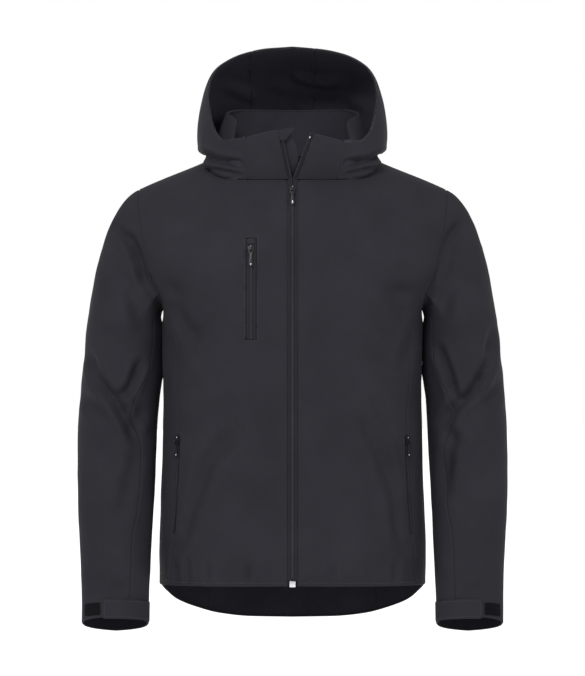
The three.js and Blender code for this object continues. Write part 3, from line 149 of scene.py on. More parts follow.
TORSO = tracks("z half front back power", (
    (20, 262, -126, 132, 3),
    (-20, 262, -126, 134, 3),
    (-60, 262, -128, 134, 3),
    (-100, 262, -131, 133, 3),
    (-144, 250, -134, 131, 2.95),
    (-190, 232, -136, 127, 2.9),
    (-215, 215, -136, 125, 2.8),
    (-240, 203, -136, 122, 2.7),
    (-300, 203, -133, 116, 2.6),
    (-350, 203, -129, 111, 2.5),
    (-430, 204, -124, 108.5, 2.4),
    (-540, 207, -124, 114.5, 2.4),
    (-620, 210, -126, 121, 2.4),
    (-680, 209, -127, 123, 2.4),
    (-740, 207, -128, 124, 2.4),
))
RIDGE = Track((
    (0, 43), (18, 41), (45, 31), (90, 13.5), (126, -0.5), (153, -12), (214, -36.5), (242, -49), (262, -59),
))
HEM = Track((
    (0, -660), (45, -663), (70, -666), (90, -670), (105, -682), (120, -700), (135, -714), (150, -726),
    (165, -732), (180, -733.5),
))
FRONT_SEAM = Track((
    (-215, 206), (-270, 188), (-340, 180), (-425, 177), (-540, 181), (-620, 188), (-670, 191),
))
BACK_SEAM = Track((
    (-195, 213), (-230, 196), (-300, 178), (-400, 160), (-500, 148), (-600, 138), (-720, 133),
))
FRONT_ARMHOLE = Track((
    (-51, 242), (-80, 240.5), (-113, 236), (-144, 229), (-175, 222), (-198, 215), (-215, 206),
))
BACK_ARMHOLE = Track(((-51, 242), (-90, 239), (-130, 232), (-165, 224), (-195, 213)))
SLEEVE = tracks("z x y across deep", (
    (-262, 265.5, 12, 57.5, 70),
    (-285, 265.5, 13, 60.5, 69),
    (-308, 266, 14, 61.2, 68),
    (-345, 268.5, 16, 63.4, 65),
    (-380, 271.8, 16, 62.4, 62),
    (-430, 275, 14, 62.4, 58),
    (-480, 276, 6, 61.6, 55),
    (-531, 276.7, -6, 59.7, 51),
    (-581, 276.3, -18, 57.5, 47),
    (-631, 275.3, -31, 54.8, 43),
    (-694, 274.4, -47, 52.2, 38),
    (-736, 274.3, -57.5, 52, 36.5),
))
SLEEVE_SEAM = tracks("z front back", (
    (-235, 150, 222),
    (-326, 136, 238),
    (-374, 117, 243),
    (-403, 111, 245),
    (-437, 123, 245),
    (-470, 132, 245),
    (-552, 129, 246),
    (-597, 121, 248),
    (-722, 117, 248),
))
COLLAR_TOP = tracks("n x y z", (
    (-1, -23.5, -96, 36),
    (-0.9, -48, -90, 31),
    (-0.81, -72, -79, 26),
    (-0.7, -94, -48, 27),
    (-0.58, -88, -8, 57),
    (-0.45, -104, 28, 74),
    (-0.3, -86, 58, 81),
    (-0.15, -50, 73, 82),
    (0, 0, 78, 82),
    (0.15, 50, 73, 82),
    (0.3, 86, 58, 81),
    (0.45, 105, 28, 73),
    (0.58, 86, -8, 54),
    (0.7, 93, -48, 24),
    (0.81, 76, -77, 20.5),
    (0.9, 56, -88, 25),
    (1, 33.5, -95, 30),
))
HOOD = tracks("u x y z out rise side back up", (
    (0, 0, -10, 171.7, 112, -98, 0, 197, 34),
    (0.1, 42, -10, 168.2, 107, -90, 12, 184, 32),
    (0.2, 76, -8, 161.4, 94, -70, 21, 152, 25),
    (0.3, 101, -5, 151, 74, -46, 24, 118, 15),
    (0.4, 118, -5, 138, 54, -26, 22, 84, 5),
    (0.5, 128, -8, 119, 39, -14, 18, 54, -5),
    (0.6, 131, -15, 96, 29, -7, 15, 34, -16),
    (0.7, 127, -30, 66, 24, -3, 13, 22, -16),
    (0.8, 118, -46, 38, 20, 0, 10, 14, -12),
    (0.9, 101, -62, 23, 14, 6, 8, 6, -12),
    (1, 74, -80, 23, 4, 20, 0, 0, -18),
))

SHELL = 1.8
LAYER_GAP = 0.4
ZIP_HALF = 7.4
ZIP_BOTTOM = -652.0
ZIP_CALM = 12.0
SIDES = ((-1, "right"), (1, "left"))
# The creases are this much deeper than the depths in their tables
FOLD_DEPTH = 1.35


@dataclass(frozen=True)
class Crease:
    """Soft trough with a raised shoulder along each side, seen from the front or the back.

    The last four fields are shares of the depth, and places from the middle in widths.
    """

    side: int
    x1: float
    z1: float
    x2: float
    z2: float
    depth: float
    width: float
    end_depth: float = 0.35
    shoulder: float = 0.32
    shoulder_at: float = 1.8
    shoulder_half: float = 0.8
    reach: float = 4.0

    def height(self, x: float, z: float) -> float:
        """Height of the cloth over its plain form at a place, below 0 in the trough.

        Args:
            x: Distance from the middle of the body.
            z: Height.
        Returns:
            The height in millimetres.
        """
        dx, dz = self.x2 - self.x1, self.z2 - self.z1
        along = clamp(((x - self.x1) * dx + (z - self.z1) * dz) / (dx * dx + dz * dz), 0, 1)
        away = math.hypot(x - self.x1 - along * dx, z - self.z1 - along * dz) / self.width
        if away > self.reach:
            return 0.0
        taper = mix(self.end_depth, 1.0, math.sin(math.pi * along))
        trough = -math.exp(-away ** 2)
        shoulder = self.shoulder * math.exp(-((away - self.shoulder_at) / self.shoulder_half) ** 2)
        return FOLD_DEPTH * self.depth * taper * (trough + shoulder)


FRONT_CREASES = tuple(Crease(*row) for row in (
    (-1, 88, -423, 130, -472, 6.5, 13),
    (-1, 130, -472, 152, -530, 7, 12),
    (-1, 152, -530, 178, -600, 5, 11),
    (-1, 60, -470, 104, -552, 2.6, 18),
    (-1, 100, -330, 165, -372, 3.2, 15),
    (-1, 178, -240, 152, -284, 6, 10),
    (-1, 152, -284, 138, -262, 3.5, 9),
    (-1, 196, -262, 176, -330, 4, 10),
    (-1, 202, -192, 170, -222, 3, 10),
    (-1, 120, -60, 150, -110, 1.6, 16),
    (-1, 183, -624, 180, -662, 4, 7),
    (-1, 163, -622, 161, -658, 3.4, 5),
    (-1, 131, -626, 130, -656, 3, 4.5),
    (-1, 68.5, -622, 69, -656, 3.4, 5),
    (-1, 100, -630, 101, -656, 1.6, 5),
    (-1, 36, -630, 35, -656, 1.5, 5),
    (1, 107, -400, 133, -452, 6, 12),
    (1, 133, -452, 157, -512, 7, 12),
    (1, 157, -512, 170, -604, 5.5, 11),
    (1, 128, -381, 150, -432, 4, 10),
    (1, 60, -500, 110, -590, 2.6, 18),
    (1, 96, -300, 160, -345, 3, 15),
    (1, 187, -216, 152, -208, 5.5, 10),
    (1, 152, -208, 176, -256, 4, 12),
    (1, 192, -262, 168, -330, 3.5, 10),
    (1, 120, -58, 155, -100, 1.6, 16),
    (1, 62.5, -622, 62, -656, 3, 5),
    (1, 118, -630, 119, -656, 1.8, 5),
    (1, 160, -624, 158, -656, 2.4, 6),
    (1, 30, -632, 31, -656, 1.4, 5),
))
BACK_CREASES = tuple(Crease(*row) for row in (
    (-1, 40, -400, 118, -442, 6, 15),
    (-1, 118, -442, 150, -540, 5, 14),
    (-1, 30, -455, 100, -520, 4.5, 16),
    (-1, 196, -205, 140, -252, 5.5, 12),
    (-1, 120, -600, 128, -690, 4, 15),
    (-1, 60, -80, 120, -120, 2.4, 18),
    (-1, 20, -560, 80, -640, 3, 18),
    (1, 30, -412, 112, -438, 6.5, 15),
    (1, 112, -438, 146, -560, 5.4, 14),
    (1, 44, -470, 96, -548, 4, 16),
    (1, 196, -200, 136, -240, 5.5, 12),
    (1, 110, -590, 100, -700, 4, 15),
    (1, 56, -88, 118, -132, 2.4, 18),
    (1, 30, -300, 120, -330, 3, 18),
))
SLEEVE_FRONT_CREASES = tuple(Crease(*row) for row in (
    (-1, 274, -112, 250, -132, 7, 8),
    (-1, 250, -132, 236, -160, 9.5, 9),
    (-1, 236, -160, 226, -200, 8.5, 9),
    (-1, 292, -150, 262, -205, 3, 14),
    (-1, 252, -200, 234, -262, 4, 11),
    (-1, 317, -308, 303, -345, 6, 8),
    (-1, 303, -345, 278, -376, 9, 8),
    (-1, 278, -376, 260, -404, 8.5, 9),
    (-1, 260, -404, 243, -441, 6.5, 9),
    (-1, 236, -322, 252, -362, 7.5, 7),
    (-1, 252, -362, 270, -374, 6, 7),
    (-1, 330, -372, 290, -410, 4.5, 9),
    (-1, 234, -395, 248, -425, 4.5, 9),
    (-1, 240, -455, 262, -540, 3.6, 11),
    (-1, 300, -462, 262, -492, 3, 12),
    (-1, 246, -540, 292, -566, 2.4, 12),
    (-1, 312, -610, 262, -640, 2.6, 10),
    (-1, 244, -655, 290, -680, 2.4, 9),
    (1, 270, -100, 246, -118, 6, 9),
    (1, 246, -118, 226, -142, 8.5, 9),
    (1, 226, -142, 214, -184, 9, 10),
    (1, 290, -140, 262, -190, 3, 14),
    (1, 248, -190, 230, -250, 4, 11),
    (1, 314, -268, 303, -322, 6, 9),
    (1, 303, -322, 281, -364, 9, 8),
    (1, 281, -364, 256, -384, 9, 8),
    (1, 256, -384, 236, -412, 7, 9),
    (1, 226, -298, 242, -338, 7.5, 7),
    (1, 242, -338, 252, -371, 7, 7),
    (1, 328, -350, 296, -392, 4.5, 10),
    (1, 236, -424, 262, -452, 4, 10),
    (1, 246, -430, 236, -520, 5, 9),
    (1, 306, -440, 268, -476, 3, 12),
    (1, 250, -532, 298, -560, 2.4, 12),
    (1, 244, -620, 296, -640, 2.6, 10),
    (1, 306, -655, 258, -682, 2.4, 9),
))
SLEEVE_BACK_CREASES = tuple(Crease(*row) for row in (
    (-1, 300, -120, 250, -170, 6, 12),
    (-1, 240, -200, 232, -262, 5.5, 11),
    (-1, 322, -340, 262, -362, 5, 11),
    (-1, 316, -392, 250, -408, 4.6, 11),
    (-1, 300, -470, 250, -520, 3.4, 13),
    (-1, 310, -600, 262, -630, 3, 11),
    (1, 296, -110, 248, -160, 6, 12),
    (1, 240, -196, 230, -256, 5.5, 11),
    (1, 320, -330, 258, -356, 5, 11),
    (1, 312, -384, 252, -404, 4.6, 11),
    (1, 304, -480, 256, -524, 3.4, 13),
    (1, 306, -606, 258, -628, 3, 11),
))
# The hood's bag hangs over its base on both sides, and the crown has soft dents
HOOD_CREASES = tuple(Crease(*row) for row in (
    (-1, 142, 4, 118, -7, 8, 6),
    (-1, 118, -7, 68, -17, 6.5, 5.5),
    (-1, 134, -19, 84, -30, 3, 4.5),
    (1, 144, 5, 122, -6, 8, 6),
    (1, 122, -6, 76, -15, 6.5, 5.5),
    (1, 136, -16, 86, -29, 3, 4.5),
    (-1, 108, 122, 60, 106, 4.5, 8),
    (-1, 98, 66, 40, 84, 3.5, 9),
    (-1, 30, 128, 0, 118, 2.5, 9),
    (1, 0, 142, 30, 131, 5, 6.5),
    (1, 30, 131, 74, 127, 5, 6.5),
    (1, 8, 90, 78, 86, 6.5, 7),
    (1, 96, 104, 118, 84, 3, 9),
))


def crease_height(creases: Iterable[Crease], side: int, x: float, z: float) -> float:
    """Joint height of all the creases of one side at a place of the front view."""
    return sum(crease.height(x, z) for crease in creases if crease.side == side)


SWELL_HEIGHT = 1.3
SWELL_PITCH = 0.011
RIPPLE_HEIGHT = 0.45
RIPPLE_PITCH = 0.035
RIPPLE_START = Vector((7.0, 3.0, 1.0))


def unevenness(point: Vector) -> float:
    """Slow rise and fall of worn cloth, in millimetres, the same on both sides of a seam."""
    swell = SWELL_HEIGHT * noise.noise(point * SWELL_PITCH)
    return swell + RIPPLE_HEIGHT * noise.noise(point * RIPPLE_PITCH + RIPPLE_START)


def length_map(curve: Callable[[float], Vector], start: float, end: float) -> Callable[[float], float]:
    """Parameter of a curve at each share of its length.

    Args:
        curve: Point at a parameter.
        start: First parameter.
        end: Last parameter.
    Returns:
        Function from a share of the length to the parameter.
    """
    samples = 240
    values = even(samples, start, end)
    lengths = [0.0]
    for before, after in zip(values, values[1:]):
        lengths.append(lengths[-1] + (curve(after) - curve(before)).length)

    def at_share(share: float) -> float:
        """Parameter at a share of the length.

        Args:
            share: 0 at the start and 1 at the end.
        Returns:
            The parameter there.
        """
        target = share * lengths[-1]
        i = min(max(bisect_left(lengths, target), 1), samples)
        share_of_step = (target - lengths[i - 1]) / (lengths[i] - lengths[i - 1])
        return mix(values[i - 1], values[i], share_of_step)

    return at_share


Edge = Callable[[float], Place]
Area = Callable[[float, float], Place]


def patch(bottom: Edge, top: Edge, left: Edge, right: Edge) -> Area:
    """Area between four edges, each of which gives a turn and a height.

    Args:
        bottom: Lower edge, from left to right.
        top: Upper edge, from left to right.
        left: Left edge, from the bottom up.
        right: Right edge, from the bottom up.
    Returns:
        A function of the share across and the share up.
    """

    def place(u: float, v: float) -> Place:
        """Turn and height at a share across and a share up.

        Args:
            u: Share across.
            v: Share up.
        Returns:
            The turn and the height there.
        """
        found = []
        for k in (0, 1):
            sides = mix(left(v)[k], right(v)[k], u)
            ends = mix(bottom(u)[k], top(u)[k], v)
            low = mix(bottom(0)[k], bottom(1)[k], u)
            high = mix(top(0)[k], top(1)[k], u)
            found.append(sides + ends - mix(low, high, v))
        return found[0], found[1]

    return place


def line(start: Place, end: Place) -> Edge:
    """Straight run of turn and height between two places."""
    return lambda t: (mix(start[0], end[0], t), mix(start[1], end[1], t))


def to_side(point: Vector, side: int) -> Vector:
    """Point of the left half, mirrored for the wearer's right."""
    return Vector((point.x * side, point.y, point.z))


@dataclass(frozen=True)
class Panels:
    """Number of steps of the panels, and how the front's upper part is divided."""

    chest_columns: int = 5
    shoulder_columns: int = 5
    chest_share: float = 0.58
    upper_rows: int = 8
    bend_row: int = 5
    back_columns: int = 8
    side_columns: int = 8
    finer: int = 5
    finer_up: int = 6
    lower_rows: int = 92


@dataclass(eq=False)
class BodyForm:
    """Form of the body by turn, from 0 at the front middle to 2 at the back, and by height."""

    ridge_y: float = 15.0
    shoulder_round: float = 300.0
    neck_x: float = 126.0
    shoulder_x: float = 242.0
    front_neck: float = -38.5
    front_neck_power: float = 4.0
    back_neck_drop: float = 37.0
    underarm: float = -240.0
    front_joint: float = -215.0
    back_joint: float = -195.0
    turn_power: float = 1.25
    neck_shoulder: float = 0.445
    ridge_ease: float = 1.6
    underarm_ease: float = 1.6
    front_stops: tuple[float, ...] = (1, 0.936, 0.872, 0.81, 0.737, 0.664, 0.591, 0.518, 0.445)
    back_stops: tuple[float, ...] = (0, 0.062, 0.126, 0.23, 0.34, 0.445)
    areas: dict[str, Area] = field(default_factory=dict)

    def __post_init__(self) -> None:
        """Work out the neck seam's lengths and the areas of the panels."""
        self.back_neck_share = length_map(lambda t: self.plain(*self.neck_curve(t)), 0, 0.9999)
        self.front_neck_share = length_map(lambda t: self.plain(*self.neck_curve(t)), 1, 2)
        self.lay_out()

    def angle(self, turn: float) -> float:
        """Angle round the section at a turn.

        Args:
            turn: Place round the section, 0 at the front middle and 2 at the back middle.
        Returns:
            The angle.
        """
        part = turn if turn <= 1 else 2 - turn
        share = part ** self.turn_power / (part ** self.turn_power + (1 - part) ** self.turn_power)
        return math.pi / 2 * share if turn <= 1 else math.pi - math.pi / 2 * share

    def turn_at(self, x: float, z: float, is_back: bool = False) -> float:
        """Turn at a distance from the middle and a height.

        Args:
            x: Distance from the middle in millimetres.
            z: Height in millimetres.
            is_back: Whether it is on the back half.
        Returns:
            The turn.
        """
        sine = min(1.0, (abs(x) / TORSO["half"](z)) ** (TORSO["power"](z) / 2))
        share = math.asin(sine) / (math.pi / 2)
        turn = 0.0 if share <= 0 else 1 / (1 + ((1 - share) / share) ** (1 / self.turn_power))
        return 2 - turn if is_back else turn

    def plain(self, turn: float, z: float) -> Vector:
        """Point of the left half of the unfolded body.

        Args:
            turn: Place round the section, 0 at the front middle and 2 at the back middle.
            z: Height in millimetres.
        Returns:
            The point.
        """
        angle = self.angle(clamp(turn, 0.0, 2.0))
        power = 2 / TORSO["power"](z)
        x = TORSO["half"](z) * max(math.sin(angle), 0.0) ** power
        cosine = math.cos(angle)
        below = clamp(RIDGE(x) - z, 0, self.shoulder_round)
        rise = math.sqrt(1 - (1 - below / self.shoulder_round) ** 2)
        reach = (TORSO["front"] if cosine >= 0 else TORSO["back"])(z) - self.ridge_y
        return Vector((x, self.ridge_y + reach * abs(cosine) ** power * rise, z))

    def normal(self, turn: float, z: float) -> Vector:
        """Outward direction of the left half of the unfolded body.

        Args:
            turn: Place round the section, 0 at the front middle and 2 at the back middle.
            z: Height in millimetres.
        Returns:
            The direction.
        """
        x = self.plain(turn, z).x
        if RIDGE(x) - z < 1.5:
            return Vector(((RIDGE(x - 1) - RIDGE(x + 1)) / 2, 0, 1)).normalized()
        t = clamp(turn, 0.004, 1.996)
        round_it = self.plain(t + 0.003, z) - self.plain(t - 0.003, z)
        up = self.plain(t, z + 0.7) - self.plain(t, z - 0.7)
        return round_it.cross(up).normalized()

    def hem(self, turn: float) -> float:
        """Height of the hem at a turn."""
        return HEM(math.degrees(self.angle(turn)))

    def neck_curve(self, t: float) -> Place:
        """Neck seam: 0 at the back middle, 1 at the shoulder and 2 at the zip.

        Args:
            t: Place on the seam.
        Returns:
            The turn and the height there.
        """
        if t < 1:
            swing = t * math.pi / 2
            x = self.neck_x * math.sin(swing)
            z = RIDGE(x) - self.back_neck_drop * math.cos(swing) ** 2
            return self.turn_at(x, z, True), z
        power = 2 / self.front_neck_power
        start = math.asin((ZIP_HALF / self.neck_x) ** (1 / power))
        angle = mix(math.pi / 2, start, (t - 1) ** 2)
        x = self.neck_x * math.sin(angle) ** power
        z = mix(self.front_neck, RIDGE(self.neck_x), 1 - max(math.cos(angle), 0.0) ** power)
        return self.turn_at(x, z), z

    def neck(self, n: float) -> Place:
        """Neck seam at a share of its length, 0 at the back middle and 1 at the zip.

        Args:
            n: Share of the seam's length.
        Returns:
            The turn and the height there.
        """
        if n < self.neck_shoulder:
            return self.neck_curve(self.back_neck_share(n / self.neck_shoulder))
        return self.neck_curve(self.front_neck_share((n - self.neck_shoulder) / (1 - self.neck_shoulder)))

    def armhole(self, a: float) -> Place:
        """Armhole: 0 at the shoulder, 1 and 3 at the princess seams, 2 under the arm, 4 as 0.

        Args:
            a: Place on the armhole.
        Returns:
            The turn and the height there.
        """
        top = RIDGE(self.shoulder_x)
        if a < 1:
            z = mix(top, self.front_joint, a)
            return self.turn_at(FRONT_ARMHOLE(z), z), z
        if a > 3:
            z = mix(self.back_joint, top, a - 3)
            return self.turn_at(BACK_ARMHOLE(z), z, True), z
        is_back = a > 2
        joint_z = self.back_joint if is_back else self.front_joint
        joint = self.turn_at(BACK_SEAM(joint_z) if is_back else FRONT_SEAM(joint_z), joint_z, is_back)
        away = abs(a - 2)
        return mix(1, joint, away), self.underarm + (joint_z - self.underarm) * away ** self.underarm_ease

    def princess(self, v: float, is_back: bool) -> Place:
        """Princess seam from the hem, 0, to the armhole, 1.

        Args:
            v: Share of the way up.
            is_back: Whether it is on the back half.
        Returns:
            The turn and the height there.
        """
        seam = BACK_SEAM if is_back else FRONT_SEAM
        bottom = -716.0 if is_back else -667.0
        for _ in range(4):
            bottom = self.hem(self.turn_at(seam(bottom), bottom, is_back))
        z = mix(bottom, self.back_joint if is_back else self.front_joint, v)
        return self.turn_at(seam(z), z, is_back), z

    def to_depth(self, place: Place) -> Place:
        """Turn and the root of the depth below the shoulder ridge."""
        turn, z = place
        return turn, math.sqrt(max(0.0, RIDGE(self.plain(turn, z).x) - z))

    def from_depth(self, place: Place) -> Place:
        """Turn and height from a turn and the root of a depth.

        Args:
            place: The turn and the root of the depth.
        Returns:
            The turn and the height.
        """
        turn, depth = place
        z = RIDGE(self.shoulder_x) - depth * depth
        for _ in range(9):
            z = RIDGE(self.plain(turn, z).x) - depth * depth
        return turn, z

    def upper_patch(self, bottom: Edge, top: Edge, left: Edge, right: Edge) -> Area:
        """Area over the round of the shoulder, laid out by the root of the depth.

        Args:
            bottom: Lower edge, from left to right.
            top: Upper edge, from left to right.
            left: Left edge, from the bottom up.
            right: Right edge, from the bottom up.
        Returns:
            A function of the share across and the share up.
        """
        area = patch(*(lambda t, edge=edge: self.to_depth(edge(t)) for edge in (bottom, top, left, right)))

        def place(u: float, v: float) -> Place:
            """Turn and height at a share across and a share up."""
            turn, depth = area(u, v)
            return self.from_depth((turn, max(depth, 0.0)))

        return place

    def thread(self, turn: float, z: float, side: int) -> tuple[Vector, Vector]:
        """Point and outward direction of one side of the body."""
        return to_side(self.plain(turn, z), side), to_side(self.normal(turn, z), side)

    def zip_edge(self, low: float, high: float) -> Edge:
        """Cloth edge along the zip between two heights."""
        return lambda v: (self.turn_at(ZIP_HALF, mix(low, high, v)), mix(low, high, v))

    def hem_line(self, start: float, end: float) -> Edge:
        """Hem between two turns."""
        return lambda t: (mix(start, end, t), self.hem(mix(start, end, t)))

    def deep_line(self, start: Place, end: Place) -> Edge:
        """Run between two places, straight by the root of the depth."""
        run = line(self.to_depth(start), self.to_depth(end))
        return lambda t: self.from_depth(run(t))

    def neck_run(self, stops: Sequence[float]) -> Edge:
        """Neck seam through a list of places."""
        return lambda t: self.neck(pick(stops, t * (len(stops) - 1)))

    def shoulder_run(self, is_back: bool) -> Edge:
        """Shoulder ridge from the neck to the armhole.

        Args:
            is_back: Whether it is on the back half.
        Returns:
            The ridge as a run of turns and heights.
        """

        def place(t: float) -> Place:
            """Turn and height at a share of the way."""
            x = mix(self.neck_x, self.shoulder_x, t)
            return self.turn_at(x, RIDGE(x), is_back), RIDGE(x)

        return place

    def back_top(self, stops: Sequence[float]) -> Edge:
        """Top of the back: half of the neck seam and then the shoulder.

        Args:
            stops: Places where its columns meet the seams.
        Returns:
            The top edge as a run.
        """
        share = (len(stops) - 1) / Panels.back_columns
        neck, shoulder = self.neck_run(stops), self.shoulder_run(True)
        return lambda t: neck(t / share) if t < share else shoulder((t - share) / (1 - share))

    def armhole_rise(self, start: float, end: float) -> Edge:
        """Front of the armhole from the princess seam up, between two shares of its rows."""
        return lambda v: self.armhole((1 - mix(start, end, v)) ** self.ridge_ease)

    def lay_out(self) -> None:
        """Set out the areas of the front, side and back panels."""
        bend, bend_share = Panels.chest_columns, Panels.bend_row / Panels.upper_rows
        chest_stops, side_stops = self.front_stops[:bend + 1], self.front_stops[bend:]
        zip_hem = self.turn_at(ZIP_HALF, HEM(0))
        zip_joint = (self.turn_at(ZIP_HALF, self.front_joint), self.front_joint)
        front_hem, back_hem = self.princess(0, False)[0], self.princess(0, True)[0]
        front_corner, back_corner = self.princess(1, False), self.princess(1, True)
        chest_middle = line(zip_joint, front_corner)(Panels.chest_share)
        neck_bend = self.neck(self.front_stops[bend])
        bend_line = self.deep_line(chest_middle, neck_bend)
        shoulder_line = self.deep_line(neck_bend, self.armhole_rise(0, 1)(bend_share))
        self.areas = {
            "front_lower": patch(
                self.hem_line(zip_hem, front_hem), line(zip_joint, front_corner),
                self.zip_edge(self.hem(zip_hem), self.front_joint), lambda v: self.princess(v, False)),
            "chest": self.upper_patch(
                line(zip_joint, chest_middle), self.neck_run(chest_stops),
                self.zip_edge(self.front_joint, self.front_neck), bend_line),
            "arm_side": self.upper_patch(
                line(chest_middle, front_corner), shoulder_line, bend_line, self.armhole_rise(0, bend_share)),
            "shoulder": self.upper_patch(
                shoulder_line, self.shoulder_run(False), self.neck_run(side_stops),
                self.armhole_rise(bend_share, 1)),
            "side": patch(
                self.hem_line(front_hem, back_hem), lambda u: self.armhole(1 + 2 * u),
                lambda v: self.princess(v, False), lambda v: self.princess(v, True)),
            "back_lower": patch(
                self.hem_line(2, back_hem), line((2, self.back_joint), back_corner),
                line((2, self.hem(2)), (2, self.back_joint)), lambda v: self.princess(v, True)),
            "back_upper": self.upper_patch(
                line((2, self.back_joint), back_corner), self.back_top(self.back_stops),
                line((2, self.back_joint), (2, self.neck(0)[1])),
                lambda v: self.armhole(4 - (1 - v) ** self.ridge_ease)),
        }


BODY = BodyForm()


class Border(Enum):
    """Edges of a grid of cloth."""

    LEFT = "first column"
    RIGHT = "last column"
    BOTTOM = "first row"
    TOP = "last row"


@dataclass(frozen=True)
class Calm:
    """Strip along a border where the cloth keeps its plain form."""

    border: Border
    reach: float
    from_row: int = 0


def linear(colour: str) -> tuple[float, float, float, float]:
    """Linear colour of an sRGB hex value such as #37363b.

    Args:
        colour: The hex value.
    Returns:
        The same colour in linear light.
    """
    parts = [int(colour[i:i + 2], 16) / 255 for i in (1, 3, 5)]
    turned = [part / 12.92 if part <= 0.04045 else ((part + 0.055) / 1.055) ** 2.4 for part in parts]
    return turned[0], turned[1], turned[2], 1.0


def add_node(tree: bpy.types.NodeTree, kind: str, links: dict[str, bpy.types.NodeSocket] | None = None,
             **settings: object) -> bpy.types.Node:
    """Add a node with its settings and links.

    Args:
        tree: Node tree that takes it.
        kind: Type name of the node.
        links: Input names, or numbers as text, with the sockets that feed them.
        settings: Attributes, or input values where the name starts with in_.
    Returns:
        The new node.
    """
    node = tree.nodes.new(kind)
    for name, value in settings.items():
        if name.startswith("in_"):
            key = name[3:]
            node.inputs[int(key) if key.isdigit() else key.replace("_", " ")].default_value = value
        else:
            setattr(node, name, value)
    for name, socket in (links or {}).items():
        tree.links.new(socket, node.inputs[int(name) if name.isdigit() else name])
    return node


# Size of the faint lighter and darker patches of cloth
CLOUD = 70.0


@dataclass(frozen=True)
class ClothFinish:
    """Woven or knitted cloth with a fine grain.

    The colours are those of lit cloth, the sizes are in millimetres, and the thread spacing is
    about twice the real one, because finer threads would not show.
    """

    name: str
    colour: str
    shade: str
    roughness: float
    thread: float
    relief: float
    sheen: float
    gloss: float = 0.1
    nap: float = 0.0

    def material(self) -> bpy.types.Material:
        """Make the material, or find the one already made.

        Returns:
            The material.
        """
        if self.name in bpy.data.materials:
            return bpy.data.materials[self.name]
        made = bpy.data.materials.new(self.name)
        made.use_nodes = True
        tree = made.node_tree
        shader = tree.nodes["Principled BSDF"]
        settings = {"Roughness": self.roughness, "IOR": 1.45, "Specular IOR Level": self.gloss,
                    "Sheen Weight": self.sheen, "Sheen Roughness": 0.45, "Sheen Tint": linear("#8d8c94")}
        for name, value in settings.items():
            shader.inputs[name].default_value = value
        place = add_node(tree, "ShaderNodeTexCoord").outputs["Object"]
        grain = add_node(tree, "ShaderNodeTexNoise", {"Vector": place}, in_Detail=2.0, in_Roughness=0.6,
                         in_Scale=1 / (self.thread * 1.6 * MM))
        cloud = add_node(tree, "ShaderNodeTexNoise", {"Vector": place}, in_Detail=3.0,
                         in_Scale=1 / (CLOUD * MM))
        warp, weft = (
            add_node(tree, "ShaderNodeTexWave", {"Vector": place}, wave_type="BANDS", bands_direction=way,
                     in_Scale=1 / (self.thread * MM) / 3.2, in_Distortion=1.2, in_Detail=1.0)
            for way in "XZ")
        threads = add_node(tree, "ShaderNodeMath", {"0": warp.outputs["Fac"], "1": weft.outputs["Fac"]},
                           operation="MULTIPLY")
        blend = add_node(tree, "ShaderNodeMath", {"0": grain.outputs["Fac"], "1": cloud.outputs["Fac"]},
                         operation="ADD")
        share = add_node(tree, "ShaderNodeMapRange", {"Value": blend.outputs[0]}, in_From_Min=0.65,
                         in_From_Max=1.35)
        tone = add_node(tree, "ShaderNodeMix", {"Factor": share.outputs["Result"]}, data_type="RGBA",
                        in_6=linear(self.shade), in_7=linear(self.colour))
        height = add_node(tree, "ShaderNodeMath", {"0": threads.outputs[0], "1": grain.outputs["Fac"]},
                          operation="ADD")
        bump = add_node(tree, "ShaderNodeBump", {"Height": height.outputs[0]}, in_Strength=self.relief,
                        in_Distance=0.25 * MM)
        if self.nap:
            tuft = add_node(tree, "ShaderNodeTexVoronoi", {"Vector": place}, in_Scale=1 / (self.nap * MM))
            feeds = {"Height": tuft.outputs["Distance"], "Normal": bump.outputs[0]}
            bump = add_node(tree, "ShaderNodeBump", feeds, in_Strength=self.relief, in_Distance=0.5 * MM)
        tree.links.new(tone.outputs[2], shader.inputs["Base Color"])
        tree.links.new(bump.outputs[0], shader.inputs["Normal"])
        return made


@dataclass(frozen=True)
class MetalFinish:
    """Small metal hardware with wear on its surface."""

    name: str
    colour: str
    worn: str
    roughness: float
    metallic: float
    gloss: float = 0.5
    scuff: float = 1.6

    def material(self) -> bpy.types.Material:
        """Make the material, or find the one already made.

        Returns:
            The material.
        """
        if self.name in bpy.data.materials:
            return bpy.data.materials[self.name]
        made = bpy.data.materials.new(self.name)
        made.use_nodes = True
        tree = made.node_tree
        shader = tree.nodes["Principled BSDF"]
        shader.inputs["Metallic"].default_value = self.metallic
        shader.inputs["Specular IOR Level"].default_value = self.gloss
        place = add_node(tree, "ShaderNodeTexCoord").outputs["Object"]
        scuffs = add_node(tree, "ShaderNodeTexNoise", {"Vector": place}, in_Detail=4.0,
                          in_Scale=1 / (self.scuff * MM))
        worn = add_node(tree, "ShaderNodeMapRange", {"Value": scuffs.outputs["Fac"]}, in_From_Min=0.5,
                        in_From_Max=0.75)
        tone = add_node(tree, "ShaderNodeMix", {"Factor": worn.outputs["Result"]}, data_type="RGBA",
                        in_6=linear(self.colour), in_7=linear(self.worn))
        rough = add_node(tree, "ShaderNodeMapRange", {"Value": scuffs.outputs["Fac"]},
                         in_To_Min=self.roughness - 0.08, in_To_Max=self.roughness + 0.12)
        tree.links.new(tone.outputs[2], shader.inputs["Base Color"])
        tree.links.new(rough.outputs["Result"], shader.inputs["Roughness"])
        return made


# Bonded softshell: a tight matte polyester face that drinks the light, with a faint cool tint
SOFTSHELL = ClothFinish("softshell face", "#201f24", "#19181d", 0.78, 1.1, 0.4, 0.05)
# Brushed knit bonded to the inside: softer, with no gloss, and darker than the face as painted shade for the
# inside of the jacket
FLEECE_PAINTED_SHADE = ClothFinish("brushed inside painted shade", "#1c1b20", "#151419", 0.95, 1.6, 0.6, 0.08, 0.05, nap=1.5)
